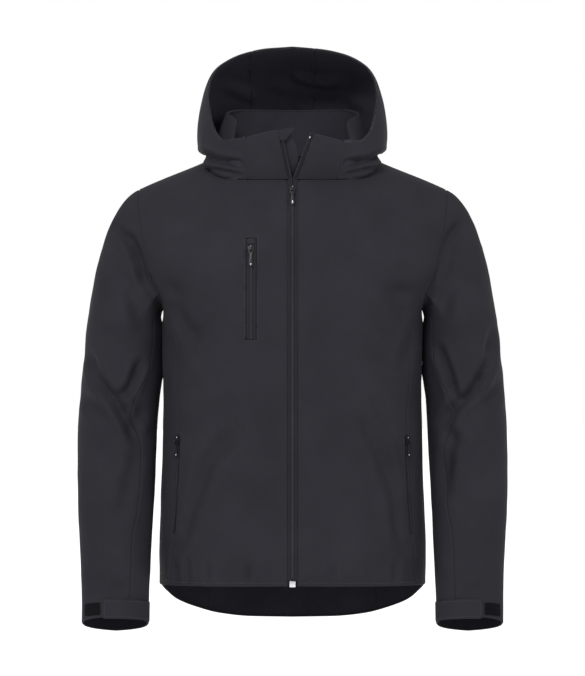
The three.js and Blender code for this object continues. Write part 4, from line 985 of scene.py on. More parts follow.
# The same knit where it lines the hood and the collar, painted lighter than the inside as painted light on
# these faces
HOOD_LINING_PAINTED_LIGHT = ClothFinish("brushed hood lining painted light", "#2c2b31", "#232228", 0.95, 1.6, 0.6, 0.1, 0.05, nap=1.5)
COLLAR_PAINTED_LIGHT = ClothFinish("brushed collar", "#27262c", "#201f24", 0.95, 1.6, 0.6, 0.1, 0.05, nap=1.5)
# Woven polyester tape, flat and close, with a slight gloss on its ribs
TAPE = ClothFinish("woven zip tape", "#1e1d22", "#17161b", 0.7, 0.9, 0.5, 0.03, 0.08)
# Loop fastener: a mat of fine hooks and loops, nearly black
LOOP = ClothFinish("loop fastener", "#0f0e11", "#070709", 0.95, 1.2, 0.9, 0.04, 0.05, nap=1.0)
# Spun polyester sewing thread, rounder and a little lighter than the cloth
THREAD = ClothFinish("sewing thread", "#323137", "#28272c", 0.5, 0.5, 0.2, 0.08, 0.2)
# Moulded nylon coil: smooth and slightly glossy
COIL = ClothFinish("nylon coil", "#26252a", "#1b1a1f", 0.42, 0.6, 0.1, 0.0, 0.3)
# Die-cast zinc under dark lacquer: satin, with small scuffs
LACQUER = MetalFinish("dark lacquered zinc", "#0d0c0f", "#1f1e23", 0.42, 0.2, 0.22)
# Nickel-plated zinc: bright, with fine scuffs
NICKEL = MetalFinish("nickel plate", "#b9b9bd", "#8f8f94", 0.26, 1.0)

Finish = ClothFinish | MetalFinish


def add_object(name: str, shape: bmesh.types.BMesh, finishes: Sequence[Finish],
               sharp: float = 40.0) -> bpy.types.Object:
    """Turn a finished bmesh into a shaded object at the origin.

    Args:
        name: Name of the piece.
        shape: Mesh in metres, freed here.
        finishes: Finish of each material slot.
        sharp: Angle in degrees past which an edge is shaded sharp.
    Returns:
        The new object.
    """
    mesh = bpy.data.meshes.new(name)
    shape.to_mesh(mesh)
    shape.free()
    for finish in finishes:
        mesh.materials.append(finish.material())
    mesh.polygons.foreach_set("use_smooth", [True] * len(mesh.polygons))
    mesh.set_sharp_from_angle(angle=math.radians(sharp))
    made = bpy.data.objects.new(name, mesh)
    bpy.context.scene.collection.objects.link(made)
    return made


@dataclass
class Surface:
    """Finished piece of cloth that stitching can be laid on."""

    piece: bpy.types.Object
    tree: BVHTree

    def nearest(self, point: Vector) -> tuple[Vector, Vector]:
        """Nearest place and its outward direction, in millimetres."""
        place, normal, _, _ = self.tree.find_nearest(point * MM)
        return place / MM, normal


@dataclass
class ClothWall:
    """Wall of cloth made from a grid of points on its outer face.

    The seams' edges are rolled inward a little, so that a soft groove runs along each seam.
    """

    name: str
    grid: Grid
    outward: Callable[[Vector], Vector]
    wall: float = SHELL
    lift: float = 0.0
    roll: float = 1.5
    band: float = 1.7
    meet: float = 0.12
    relief: Callable[[Vector, Vector], float] | None = None
    calm: Sequence[Calm] = ()
    cut: Callable[[bmesh.types.BMesh], None] | None = None

    def near(self, i: int, j: int, otherwise: Vector) -> Vector:
        """Point of the grid, or another one where the grid has none."""
        inside = 0 <= i < len(self.grid) and 0 <= j < len(self.grid[0])
        return self.grid[i][j] if inside and self.grid[i][j] else otherwise

    def normals(self) -> Grid:
        """Outward direction at each point, from its neighbours.

        Returns:
            The directions, in the order of the grid.
        """
        found: Grid = []
        for i, column in enumerate(self.grid):
            line: list[Vector | None] = []
            for j, point in enumerate(column):
                if point is None:
                    line.append(None)
                    continue
                across = self.near(i + 1, j, point) - self.near(i - 1, j, point)
                up = self.near(i, j + 1, point) - self.near(i, j - 1, point)
                normal = across.cross(up).normalized()
                line.append(-normal if normal.dot(self.outward(point)) < 0 else normal)
            found.append(line)
        return found

    def stillness(self, i: int, j: int) -> float:
        """Share of the relief that a point keeps, 0 on a calm border.

        Args:
            i: Column of the point.
            j: Row of the point.
        Returns:
            The share.
        """
        point, kept = self.grid[i][j], 1.0
        column = self.grid[i]
        top = max(k for k, node in enumerate(column) if node)
        for calm in self.calm:
            if j < calm.from_row:
                continue
            edge = {Border.LEFT: self.grid[0][j], Border.RIGHT: self.grid[-1][j],
                    Border.BOTTOM: column[0], Border.TOP: column[top]}[calm.border]
            if edge:
                kept = min(kept, smooth_step((point - edge).length / calm.reach))
        return kept

    # The inner face defaults to the knit painted darker, as painted shade
    def build(self, finishes: Sequence[Finish] = (SOFTSHELL, FLEECE_PAINTED_SHADE)) -> Surface:
        """Make the wall as a closed mesh.

        Args:
            finishes: Finish of the outer face and of the inner face.
        Returns:
            The piece with a search tree of its faces.
        """
        columns, rows = len(self.grid) - 1, len(self.grid[0]) - 1
        normals = self.normals()
        shape = bmesh.new()
        bmesh.ops.create_grid(shape, x_segments=columns, y_segments=rows, size=1)
        spare = []
        for vertex in shape.verts:
            i, j = round((vertex.co.x + 1) / 2 * columns), round((vertex.co.y + 1) / 2 * rows)
            point = self.grid[i][j]
            if point is None:
                spare.append(vertex)
                continue
            rise = self.lift
            if self.relief:
                rise += self.relief(point, normals[i][j]) * self.stillness(i, j)
            vertex.co = (point + normals[i][j] * rise) * MM
        bmesh.ops.delete(shape, geom=spare, context="VERTS")
        shape.normal_update()
        middle = shape.faces[:][len(shape.faces) // 2]
        if middle.normal.dot(self.outward(middle.calc_center_median() / MM)) < 0:
            bmesh.ops.reverse_faces(shape, faces=shape.faces[:])
        if self.cut:
            self.cut(shape)
        self.roll_edges(shape)
        piece = add_object(self.name, shape, finishes)
        walls = piece.modifiers.new("wall", "SOLIDIFY")
        walls.thickness = self.wall * MM
        walls.offset = -1
        walls.material_offset = 1
        walls.use_rim = True
        finished = bpy.data.meshes.new_from_object(piece.evaluated_get(bpy.context.evaluated_depsgraph_get()))
        piece.modifiers.clear()
        piece.data = finished
        finished.name = self.name
        finished.set_sharp_from_angle(angle=math.radians(50))
        corners = [vertex.co for vertex in finished.vertices]
        return Surface(piece, BVHTree.FromPolygons(corners, [face.vertices for face in finished.polygons]))

    def roll_edges(self, shape: bmesh.types.BMesh) -> None:
        """Add a narrow band along the borders and turn their edges inward.

        Args:
            shape: The sheet before it has its thickness.
        """
        bmesh.ops.inset_region(shape, faces=shape.faces[:], thickness=self.band * MM, depth=0,
                               use_boundary=True, use_even_offset=True)
        shape.normal_update()
        moves = []
        for vertex in shape.verts:
            if not vertex.is_boundary:
                continue
            inner = [edge.other_vert(vertex) for edge in vertex.link_edges if not edge.is_boundary]
            pull = Vector()
            if inner:
                pull = (vertex.co - inner[0].co).normalized() * self.meet * MM
            moves.append((vertex, pull - vertex.normal * self.roll * MM))
        for vertex, move in moves:
            vertex.co += move

    def cut_size(self) -> tuple[float, float, float]:
        """Width, length and area of the flat cut in metres, measured along the form.

        Returns:
            The width, the length and the area.
        """
        grid = self.grid
        widths, lengths, area = [], [], 0.0
        for j in range(len(grid[0])):
            row = [column[j] for column in grid if column[j]]
            widths.append(sum((b - a).length for a, b in zip(row, row[1:])))
        for column in grid:
            points = [point for point in column if point]
            lengths.append(sum((b - a).length for a, b in zip(points, points[1:])))
        for left, right in zip(grid, grid[1:]):
            for a, b, c, d in zip(left, right, right[1:], left[1:]):
                if a and b and c and d:
                    area += 0.5 * ((c - a).cross(d - b)).length
        return max(widths) * MM, max(lengths) * MM, area * MM * MM


def hand_over(surface: Surface, slot: str, *nodes: str, body: str = GARMENT) -> None:
    """Say which body a piece rides on and which solids it stands for.

    Args:
        surface: The piece.
        slot: Not used.
        body: Node that it rides on.
        *nodes: Solids that it stands for.
    """
    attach(surface.piece, body)
    if nodes:
        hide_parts(*nodes)


def declare_cloth(wall: ClothWall) -> None:
    """Log the width, length and area that a piece is cut to.

    Args:
        wall: The wall that it was built from.
    """
    width, length, area = wall.cut_size()
    log.info("%s cut %.0f x %.0f mm, %.4f m2", wall.name, width / MM, length / MM, area)


@dataclass
class Sewing:
    """Run of small parts, such as stitches or zip teeth, joined into one piece."""

    name: str
    shape: bmesh.types.BMesh = field(default_factory=bmesh.new)
    thread: tuple[float, float] = (0.6, 0.5)
    stray: float = 9.0

    def bar(self, place: Vector, along: Vector, normal: Vector, size: Vector) -> None:
        """Add one small bar.

        Args:
            place: Its middle, in millimetres.
            along: Direction of its length.
            normal: Direction of its height.
            size: Length, width and height in millimetres.
        """
        side = normal.cross(along).normalized()
        ahead = side.cross(normal).normalized()
        turn = Matrix((ahead, side, normal)).transposed().to_4x4()
        matrix = Matrix.Translation(place * MM) @ turn @ Matrix.Diagonal((*(size * MM), 1))
        bmesh.ops.create_cube(self.shape, size=1, matrix=matrix)

    def run(self, path: Path, surface: Surface, inset: float, pitch: float = 3.4, long: float = 2.5) -> None:
        """Sew along a path on a piece of cloth.

        Args:
            path: Points with the rough direction that the thread faces.
            surface: Cloth that carries the thread.
            inset: Distance from the path, across it, in millimetres.
            pitch: Distance between stitches.
            long: Length of a stitch.
        """
        for point, ahead, facing in walk(path, pitch):
            place, normal = surface.nearest(point + facing * 2)
            if inset:
                side = normal.cross(ahead).normalized()
                place, normal = surface.nearest(place + side * inset + normal * 2)
            if (place - point).length > abs(inset) + self.stray:
                continue
            self.bar(place + normal * 0.1, ahead, normal, Vector((long, *self.thread)))

    def finish(self, finish: Finish, slot: str, body: str = GARMENT) -> bpy.types.Object:
        """Make the object and hand it over.

        Args:
            finish: Finish of the thread or metal.
            slot: Not used.
            body: Node that it rides on.
        Returns:
            The object.
        """
        piece = add_object(self.name, self.shape, (finish,), sharp=180)
        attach(piece, body)
        return piece


def walk(path: Path, pitch: float) -> list[tuple[Vector, Vector, Vector]]:
    """Places at even distances along a path.

    Args:
        path: Points with a facing direction.
        pitch: Distance between places in millimetres.
    Returns:
        Each place with its direction along the path and its facing direction.
    """
    places, ahead_of = [], pitch / 2
    for (start, facing), (end, after) in zip(path, path[1:]):
        span = (end - start).length
        if span < 1e-6:
            continue
        while ahead_of <= span:
            share = ahead_of / span
            outward = facing.lerp(after, share).normalized()
            places.append((start.lerp(end, share), (end - start) / span, outward))
            ahead_of += pitch
        ahead_of -= span
    return places


def rectangle(left: float, right: float, bottom: float, top: float, steps: int) -> list[list[Place]]:
    """Sides of a rectangle.

    Args:
        left: First limit across.
        right: Second limit across.
        bottom: Lower limit.
        top: Upper limit.
        steps: Steps along each side.
    Returns:
        Each side as places along it.
    """
    corners = [(left, bottom), (right, bottom), (right, top), (left, top)]
    ends = zip(corners, corners[1:] + corners[:1])
    return [[line(start, end)(t) for t in even(steps)] for start, end in ends]


def bevel(shape: bmesh.types.BMesh, edges: Sequence[bmesh.types.BMEdge], size: float) -> None:
    """Break edges with a fine bevel, its size in millimetres."""
    bmesh.ops.bevel(shape, geom=edges, offset=size * MM, offset_type="OFFSET", segments=2, profile=0.5,
                    affect="EDGES", clamp_overlap=True, material=-1)


def inward(along: Vector, level: Vector, side: int) -> Vector:
    """Direction across a front edge, toward the middle of the jacket."""
    found = along.cross(level).normalized()
    return -found if found.x * side > 0 else found


FORWARD = Vector((0, -1, 0))


def from_axis(point: Vector) -> Vector:
    """Rough outward direction of the body and the hood."""
    return Vector((point.x, point.y - 5, 0)).normalized()


@dataclass(frozen=True)
class UnderarmTouch:
    """Stretch below the armhole where the sleeve and the side of the body press together."""

    top: float = -246.0
    bottom: float = -352.0
    fade: float = 16.0
    depth: float = 24.0
    overlap: float = 0.5
    in_sleeve: float = 14.0
    in_body: float = 12.0
    body_share: float = 0.4

    def push(self, point: Vector, normal: Vector) -> float:
        """How far a point of either piece moves toward the other.

        Args:
            point: Place on the plain form.
            normal: Its outward direction.
        Returns:
            The distance along the outward direction, in millimetres.
        """
        z, side = point.z, -1 if point.x < 0 else 1
        inner = SLEEVE["x"](z) - SLEEVE["across"](z)
        if abs(point.x) > inner + self.in_sleeve or abs(point.x) < TORSO["half"](z) - self.in_body:
            return 0.0
        share = smooth_step((self.top - z) / self.fade) * smooth_step((z - self.bottom) / self.fade)
        share *= math.exp(-((point.y - SLEEVE["y"](z)) / self.depth) ** 2)
        part = 1 - self.body_share if normal.x * side < 0 else self.body_share
        gap = max(inner - TORSO["half"](z), 0.0)
        return share * abs(normal.x) * (gap * part + self.overlap)


UNDERARM_TOUCH = UnderarmTouch()


@dataclass(frozen=True)
class ChestPocket:
    """Vertical zip pocket on the wearer's right chest."""

    x: float = -63.0
    top: float = -130.0
    bottom: float = -285.0
    width: float = 15.4
    stitch_reach: float = 2.4
    calm_reach: float = 22.0

    def cut_slot(self, shape: bmesh.types.BMesh) -> None:
        """Cut the pocket's opening through the front.

        Args:
            shape: Front before it has its thickness, in metres.
        """
        left, right = self.x - self.width / 2, self.x + self.width / 2
        cuts = [(Vector((x, 0, 0)), Vector((1, 0, 0))) for x in (left, right)]
        cuts += [(Vector((0, 0, z)), Vector((0, 0, 1))) for z in (self.top, self.bottom)]
        for place, across in cuts:
            bmesh.ops.bisect_plane(shape, geom=shape.verts[:] + shape.edges[:] + shape.faces[:], dist=1e-6,
                                   plane_co=place * MM, plane_no=across)
        inside = []
        for face in shape.faces:
            middle = face.calc_center_median() / MM
            if left < middle.x < right and self.bottom < middle.z < self.top and middle.y < 0:
                inside.append(face)
        bmesh.ops.delete(shape, geom=inside, context="FACES")

    def calm(self, point: Vector) -> float:
        """Share of the folds that the front keeps near the pocket.

        Args:
            point: Place on the plain form.
        Returns:
            The share, from 0 to 1.
        """
        away_x = abs(point.x - self.x) - self.width / 2 - 3
        away_z = max(point.z - self.top, self.bottom - point.z) - 3
        return smooth_step(max(away_x, away_z, 0.0) / self.calm_reach)

    def frames(self, top: float, bottom: float) -> list[tuple[Vector, Vector, Vector]]:
        """Place, side and outward direction at heights along the zip.

        Args:
            top: Upper end's height.
            bottom: Lower end's height.
        Returns:
            The frames, one for each place along it.
        """
        found = []
        for z in even(24, bottom, top):
            point, normal = BODY.thread(BODY.turn_at(self.x, z), z, -1)
            side = (Vector((1, 0, 0)) - normal * normal.x).normalized()
            found.append((point, side, normal))
        return found

    def sew(self, front: Surface) -> None:
        """Sew the frame round the pocket and lay the coil.

        Args:
            front: The front that carries the pocket.
        """
        sewing = Sewing("chest_pocket_stitching")
        half, reach = self.width / 2 + self.stitch_reach, self.stitch_reach
        for edge in rectangle(self.x - half, self.x + half, self.bottom - reach, self.top + reach, 12):
            path = [(BODY.thread(BODY.turn_at(x, z), z, -1)[0], FORWARD) for x, z in edge]
            sewing.run(path, front, 0)
        sewing.finish(THREAD, "softshell")
        lay_coil("chest_coil", self.frames(self.top - 10, self.bottom + 1), 0.35, 3.4)
        log.info("chest pocket sewn")


def lay_coil(name: str, frames: Sequence[tuple[Vector, Vector, Vector]], height: float, width: float,
             pitch: float = 1.5) -> None:
    """Lay a zip's coil as small bars across it.

    Args:
        name: Name of the piece.
        frames: Place, side and outward direction along the zip.
        height: Height of the bars' middles over the frames.
        width: Length of a bar across the zip.
        pitch: Distance between bars.
    """
    coil = Sewing(name)
    path = [(point + normal * height, normal) for point, _, normal in frames]
    for k, (place, ahead, normal) in enumerate(walk(path, pitch)):
        side = normal.cross(ahead).normalized()
        shift = side * (0.35 if k % 2 else -0.35)
        coil.bar(place + shift, side, normal, Vector((width, pitch * 0.55, 0.8)))
    coil.finish(COIL, "zip_tape")


@dataclass(frozen=True)
class HandPockets:
    """Zip pockets in the front princess seams."""

    top: float = -431.0
    bottom: float = -586.0
    half: float = 3.6
    stitch_inset: float = 6.2
    calm_height: float = 14.0
    calm_from: float = 4.0
    calm_reach: float = 24.0

    def opening(self, z: float) -> float:
        """How far the slit pulls each edge of the seam back at a height."""
        end = min(self.top + 2 - z, z - self.bottom + 2)
        return self.half * smooth_step(end / 4) if end > 0 else 0.0

    def calm(self, point: Vector) -> float:
        """Share of the folds that the cloth keeps near the pocket.

        Args:
            point: Place on the plain form.
        Returns:
            The share, from 0 to 1.
        """
        if not self.bottom - self.calm_height < point.z < self.top + self.calm_height:
            return 1.0
        return smooth_step((abs(abs(point.x) - FRONT_SEAM(point.z)) - self.calm_from) / self.calm_reach)

    def frames(self, side: int) -> list[tuple[Vector, Vector, Vector]]:
        """Place, side and outward direction at heights along one pocket's zip.

        Args:
            side: -1 for the wearer's right, 1 for the left.
        Returns:
            The frames, one for each place along it.
        """
        found = []
        for z in even(24, self.bottom + 2, self.top - 16):
            point, normal = BODY.thread(BODY.turn_at(FRONT_SEAM(z), z), z, side)
            found.append((point, Vector((0, 0, 1)).cross(normal), normal))
        return found

    def sew(self, panels: dict[str, Surface]) -> None:
        """Sew both sides of each slit and lay the coils.

        Args:
            panels: The body's panels by name.
        """
        for side, label in SIDES:
            sewing = Sewing(f"pocket_stitching_{label}")
            heights = even(40, self.bottom - 6, self.top + 6)
            path = [BODY.thread(BODY.turn_at(FRONT_SEAM(z), z), z, side) for z in heights]
            sewing.run(path, panels[f"front_{label}"], -self.stitch_inset * side)
            sewing.run(path, panels[f"side_{label}"], self.stitch_inset * side)
            sewing.finish(THREAD, "softshell")
            lay_coil(f"pocket_coil_{label}", self.frames(side), 0.35, 3.2)
        log.info("hand pockets sewn")


CHEST_POCKET = ChestPocket()
HAND_POCKETS = HandPockets()


def body_relief(point: Vector, normal: Vector) -> float:
    """Height of the folds and unevenness of the body at a point.

    Args:
        point: Place on the plain form.
        normal: Its outward direction.
    Returns:
        The height in millimetres.
    """
    side = -1 if point.x < 0 else 1
    x, z = abs(point.x), point.z
    front = smooth_step((-normal.y + 0.15) / 0.5)
    back = smooth_step((normal.y + 0.15) / 0.5)
    height = crease_height(FRONT_CREASES, side, x, z) * front if front else 0.0
    height += crease_height(BACK_CREASES, side, x, z) * back if back else 0.0
    height += unevenness(point)
    height += UNDERARM_TOUCH.push(point, normal)
    if point.y > 0:
        return height
    keep = smooth_step((x - ZIP_CALM) / 30)
    if side < 0:
        keep *= CHEST_POCKET.calm(point)
    return height * keep * HAND_POCKETS.calm(point)


@dataclass
class BodyPanels:
    """Fronts, sides and back."""

    hem_inset: float = 6.0
    neck_inset: float = 2.6
    zip_insets: tuple[float, float] = (2.4, 7.6)
    slit_columns: int = 5
    surfaces: dict[str, Surface] = field(default_factory=dict)

    def point(self, side: int, place: Place) -> Vector:
        """Point of the body on one side."""
        return to_side(BODY.plain(*place), side)

    def front_grid(self, side: int) -> Grid:
        """Grid of a front, whose chest columns stop at the neck seam.

        Args:
            side: -1 for the wearer's right, 1 for the left.
        Returns:
            The grid, a list of columns.
        """
        chest, total = Panels.chest_columns, Panels.chest_columns + Panels.shoulder_columns
        bend, up = Panels.bend_row * Panels.finer_up, (Panels.upper_rows - Panels.bend_row) * Panels.finer_up
        grid: Grid = []
        for i in range(total * Panels.finer + 1):
            place = i / Panels.finer
            is_chest = place < chest
            share = (Panels.chest_share * place / chest if is_chest
                     else mix(Panels.chest_share, 1, (place - chest) / Panels.shoulder_columns))
            across = place / chest if is_chest else (place - chest) / Panels.shoulder_columns
            column: list[Vector | None] = [
                self.point(side, BODY.areas["front_lower"](share, v)) for v in even(Panels.lower_rows)]
            area = BODY.areas["chest" if is_chest else "arm_side"]
            column += [self.point(side, area(across, v)) for v in even(bend)[1:]]
            shoulder = BODY.areas["shoulder"]
            column += [None if is_chest else self.point(side, shoulder(across, v)) for v in even(up)[1:]]
            grid.append(column)
        return self.open_slit(grid, from_end=True)

    def open_slit(self, grid: Grid, from_end: bool) -> Grid:
        """Pull the columns by the front princess seam back where the pocket's slit is.

        Args:
            grid: Columns of the panel.
            from_end: Whether the seam is at the last column.
        Returns:
            The grid with its slit.
        """
        reach = self.slit_columns
        for j in range(Panels.lower_rows + 1):
            order = [column[j] for column in (reversed(grid) if from_end else grid)]
            opening = HAND_POCKETS.opening(order[0].z)
            if not opening:
                continue
            onward = (order[reach] - order[0]).normalized()
            for k in range(reach):
                order[k] += onward * opening * (1 - k / reach)
        return grid

    def body_grid(self, side: int, columns: int, lower: str, upper: str | None) -> Grid:
        """Grid of a side panel or of half of the back.

        Args:
            side: -1 for the wearer's right, 1 for the left.
            columns: How many columns it has.
            lower: Name of its lower area.
            upper: Name of its upper area, where it has one.
        Returns:
            The grid, a list of columns.
        """
        grid: Grid = []
        for u in even(columns):
            column = [self.point(side, BODY.areas[lower](u, v)) for v in even(Panels.lower_rows)]
            if upper:
                rows = even(Panels.upper_rows * Panels.finer_up)[1:]
                column += [self.point(side, BODY.areas[upper](u, v)) for v in rows]
            grid.append(column)
        return grid

    def add(self, wall: ClothWall, held: str, rests_on: Sequence[str]) -> None:
        """Build a panel, hand it over and log its cut size.

        Args:
            wall: The panel's wall.
            held: Not used.
            rests_on: Not used.
        """
        surface = wall.build()
        hand_over(surface, "softshell", wall.name.removeprefix("cloth_"))
        declare_cloth(wall)
        self.surfaces[wall.name.removeprefix("cloth_")] = surface

    def build(self) -> None:
        """Make all five panels."""
        joint = Panels.lower_rows
        for side, label in SIDES:
            self.add(ClothWall(
                f"cloth_front_{label}", self.front_grid(side), from_axis, relief=body_relief,
                calm=(Calm(Border.TOP, 26), Calm(Border.RIGHT, 22, joint)),
                cut=CHEST_POCKET.cut_slot if side < 0 else None,
            ), "hung", ["back"])
            columns = Panels.side_columns * Panels.finer
            grid = self.open_slit(self.body_grid(side, columns, "side", None), from_end=False)
            self.add(ClothWall(f"cloth_side_{label}", grid, from_axis, relief=body_relief,
                               calm=(Calm(Border.TOP, 22),)), "hung", ["back"])
        columns = Panels.back_columns * Panels.finer
        left, right = (self.body_grid(side, columns, "back_lower", "back_upper") for side in (1, -1))
        for column in left[:1] + right[:1]:
            for point in column:
                point.x = 0
        grid = list(reversed(right[1:])) + left
        calm = (Calm(Border.TOP, 26), Calm(Border.LEFT, 22, joint), Calm(Border.RIGHT, 22, joint))
        self.add(ClothWall("cloth_back", grid, from_axis, relief=body_relief, calm=calm), "hung", ["collar"])
        log.info("body panels made")

    def sew(self) -> None:
        """Sew along the zip, the neck seam and the hem."""
        zip_heights = even(60, -656, BODY.front_neck - 4)
        neck_places = even(40, 0.985, BODY.neck_shoulder + 0.01)
        front_hem, back_hem = BODY.princess(0, False)[0], BODY.princess(0, True)[0]
        zip_hem = BODY.turn_at(ZIP_HALF + 3, HEM(0))
        for side, label in SIDES:
            front = self.surfaces[f"front_{label}"]
            sewing = Sewing(f"front_stitching_{label}")
            edge = [BODY.thread(BODY.turn_at(ZIP_HALF, z), z, side) for z in zip_heights]
            for reach in self.zip_insets:
                sewing.run(edge, front, reach * side)
            neck = [BODY.thread(*BODY.neck(n), side) for n in neck_places]
            sewing.run(neck, front, -self.neck_inset * side)
            hems = ((f"front_{label}", zip_hem, front_hem), (f"side_{label}", front_hem, back_hem),
                    ("back", back_hem, 1.999))
            for panel, start, end in hems:
                hem = [BODY.thread(turn, BODY.hem(turn), side) for turn in even(40, start, end)]
                sewing.run(hem, self.surfaces[panel], self.hem_inset * side)
            sewing.finish(THREAD, "softshell")
        log.info("body panels sewn")


@dataclass
class Sleeves:
    """Two-piece sleeves, bent forward at the elbow, with their cuffs."""

    top: float = -262.0
    end_front: float = -719.5
    end_back: float = -735.0
    end_hold: float = 0.6
    leave: float = 0.78
    leave_more: float = 6.0
    arrive: float = 0.85
    underarm_column: int = 12
    last_column: int = 24
    seam_front: int = 10
    seam_back: int = 17
    upper_columns: int = 85
    under_columns: int = 40
    cap_rows: int = 46
    arm_rows: int = 100
    surfaces: dict[str, Surface] = field(default_factory=dict)

    def __post_init__(self) -> None:
        """Work out the angles round the armhole."""
        points = [BODY.plain(*BODY.armhole(self.armhole_place(k))) for k in range(self.last_column + 1)]
        lengths = [0.0]
        for before, after in zip(points, points[1:]):
            lengths.append(lengths[-1] + (after - before).length)
        half = lengths[self.underarm_column]
        rest = lengths[-1] - half
        self.angles = [180 * s / half if s <= half else 180 + 180 * (s - half) / rest for s in lengths]

    def armhole_place(self, k: float) -> float:
        """Place on the armhole, 0 to 4, of a column from 0 to 24.

        Args:
            k: The column.
        Returns:
            The place.
        """
        if k <= 8:
            return (k / 8) ** BODY.ridge_ease
        if k <= 16:
            return 1 + (k - 8) / 4
        return 4 - (1 - (k - 16) / 8) ** BODY.ridge_ease

    def ring(self, degrees: float, z: float) -> Vector:
        """Point of the left sleeve: 0 degrees is its outer side and 90 its front.

        Args:
            degrees: Angle round the arm.
            z: Height in millimetres.
        Returns:
            The point.
        """
        angle = math.radians(degrees)
        lean = (SLEEVE["y"](z + 12) - SLEEVE["y"](z - 12)) / 24
        back = Vector((0, 1, -lean)).normalized()
        middle = Vector((SLEEVE["x"](z) + SLEEVE["across"](z) * math.cos(angle), SLEEVE["y"](z), z))
        return middle - back * SLEEVE["deep"](z) * math.sin(angle)

    def ring_normal(self, degrees: float, z: float) -> Vector:
        """Outward direction of the left sleeve.

        Args:
            degrees: Angle round the arm.
            z: Height in millimetres.
        Returns:
            The direction.
        """
        round_it = self.ring(degrees + 1, z) - self.ring(degrees - 1, z)
        up = self.ring(degrees, z + 1) - self.ring(degrees, z - 1)
        normal = round_it.cross(up).normalized()
        centre = Vector((SLEEVE["x"](z), SLEEVE["y"](z), z))
        return -normal if normal.dot(self.ring(degrees, z) - centre) < 0 else normal

    def angle(self, k: float, z: float) -> float:
        """Degrees round the arm of a column.

        Args:
            k: The column.
            z: Height in millimetres.
        Returns:
            The degrees.
        """
        front, back = SLEEVE_SEAM["front"](z), SLEEVE_SEAM["back"](z)
        if k <= self.seam_front:
            return front * k / self.seam_front
        if k <= self.seam_back:
            return mix(front, back, (k - self.seam_front) / (self.seam_back - self.seam_front))
        return mix(back, 360, (k - self.seam_back) / (self.last_column - self.seam_back))

    def cap(self, k: float, w: float) -> Vector:
        """Point of the sleeve head between the armhole, 0, and the top of the arm, 1.

        Args:
            k: The column.
            w: Share of the way down the sleeve head.
        Returns:
            The point.
        """
        place = BODY.armhole(self.armhole_place(k))
        start = BODY.plain(*place)
        around = [BODY.plain(*BODY.armhole(self.armhole_place((k + step) % self.last_column)))
                  for step in (0.5, -0.5)]
        away = BODY.normal(*place).cross(around[0] - around[1]).normalized()
        degrees = mix(pick(self.angles, k), self.angle(k, self.top), smooth_step(w))
        end = self.ring(degrees, self.top)
        onward = -(end - self.ring(degrees, self.top - 10)).normalized()
        distance = (start - end).length
        w2, w3 = w * w, w ** 3
        leave = self.leave * distance + self.leave_more
        return (start * (2 * w3 - 3 * w2 + 1) + away * ((w3 - 2 * w2 + w) * leave)
                + end * (3 * w2 - 2 * w3) + onward * ((w3 - w2) * self.arrive * distance))

    def column(self, k: float, side: int) -> list[Vector | None]:
        """Points of one column from the armhole to the cuff.

        Args:
            k: Its place round the sleeve.
            side: -1 for the wearer's right, 1 for the left.
        Returns:
            The points, from the armhole down.
        """
        points: list[Vector | None] = [self.cap(k, w) for w in even(self.cap_rows)[:-1]]
        forward = (1 + math.sin(math.radians(self.angle(k, self.end_back)))) / 2
        end = mix(self.end_back, self.end_front, forward ** self.end_hold)
        points += [self.ring(self.angle(k, z), z) for z in even(self.arm_rows, self.top, end)]
        return [to_side(point, side) for point in points]

    def outward(self, side: int) -> Callable[[Vector], Vector]:
        """Rough outward direction of a sleeve on one side.

        Args:
            side: -1 for the wearer's right, 1 for the left.
        Returns:
            A function that gives the direction at a point.
        """

        def direction(point: Vector) -> Vector:
            """Direction away from the middle of the arm.

            Args:
                point: Place on the sleeve.
            Returns:
                The direction.
            """
            z = min(point.z, self.top)
            lean = clamp((point.z - self.top) / 200, 0, 1)
            middle = Vector(((SLEEVE["x"](z) - 60 * lean) * side, SLEEVE["y"](z), point.z - 70 * lean))
            return point - middle

        return direction

    def relief(self, side: int) -> Callable[[Vector, Vector], float]:
        """Height of the sleeve's folds on one side.

        Args:
            side: -1 for the wearer's right, 1 for the left.
        Returns:
            A function that gives the height at a point.
        """

        def height(point: Vector, normal: Vector) -> float:
            """Height at a point.

            Args:
                point: Place on the plain form.
                normal: Its outward direction.
            Returns:
                The height in millimetres.
            """
            front, back = smooth_step((-normal.y + 0.1) / 0.6), smooth_step((normal.y + 0.1) / 0.6)
            x, z = abs(point.x), point.z
            rise = crease_height(SLEEVE_FRONT_CREASES, side, x, z) * front if front else 0.0
            rise += crease_height(SLEEVE_BACK_CREASES, side, x, z) * back if back else 0.0
            return rise + unevenness(point) + UNDERARM_TOUCH.push(point, normal)

        return height

    def build(self) -> None:
        """Make the four sleeve pieces."""
        round_it = even(self.upper_columns, self.seam_back, self.last_column + self.seam_front)
        parts = {
            "upper": [k % self.last_column for k in round_it],
            "under": even(self.under_columns, self.seam_front, self.seam_back),
        }
        for side, label in SIDES:
            for part, stops in parts.items():
                wall = ClothWall(
                    f"cloth_sleeve_{part}_{label}", [self.column(k, side) for k in stops], self.outward(side),
                    relief=self.relief(side), calm=(Calm(Border.BOTTOM, 20), Calm(Border.TOP, 34)))
                surface = wall.build()
                hand_over(surface, "softshell", f"sleeve_{part}_{label}")
                declare_cloth(wall)
                self.surfaces[f"{part}_{label}"] = surface
        log.info("sleeves made")


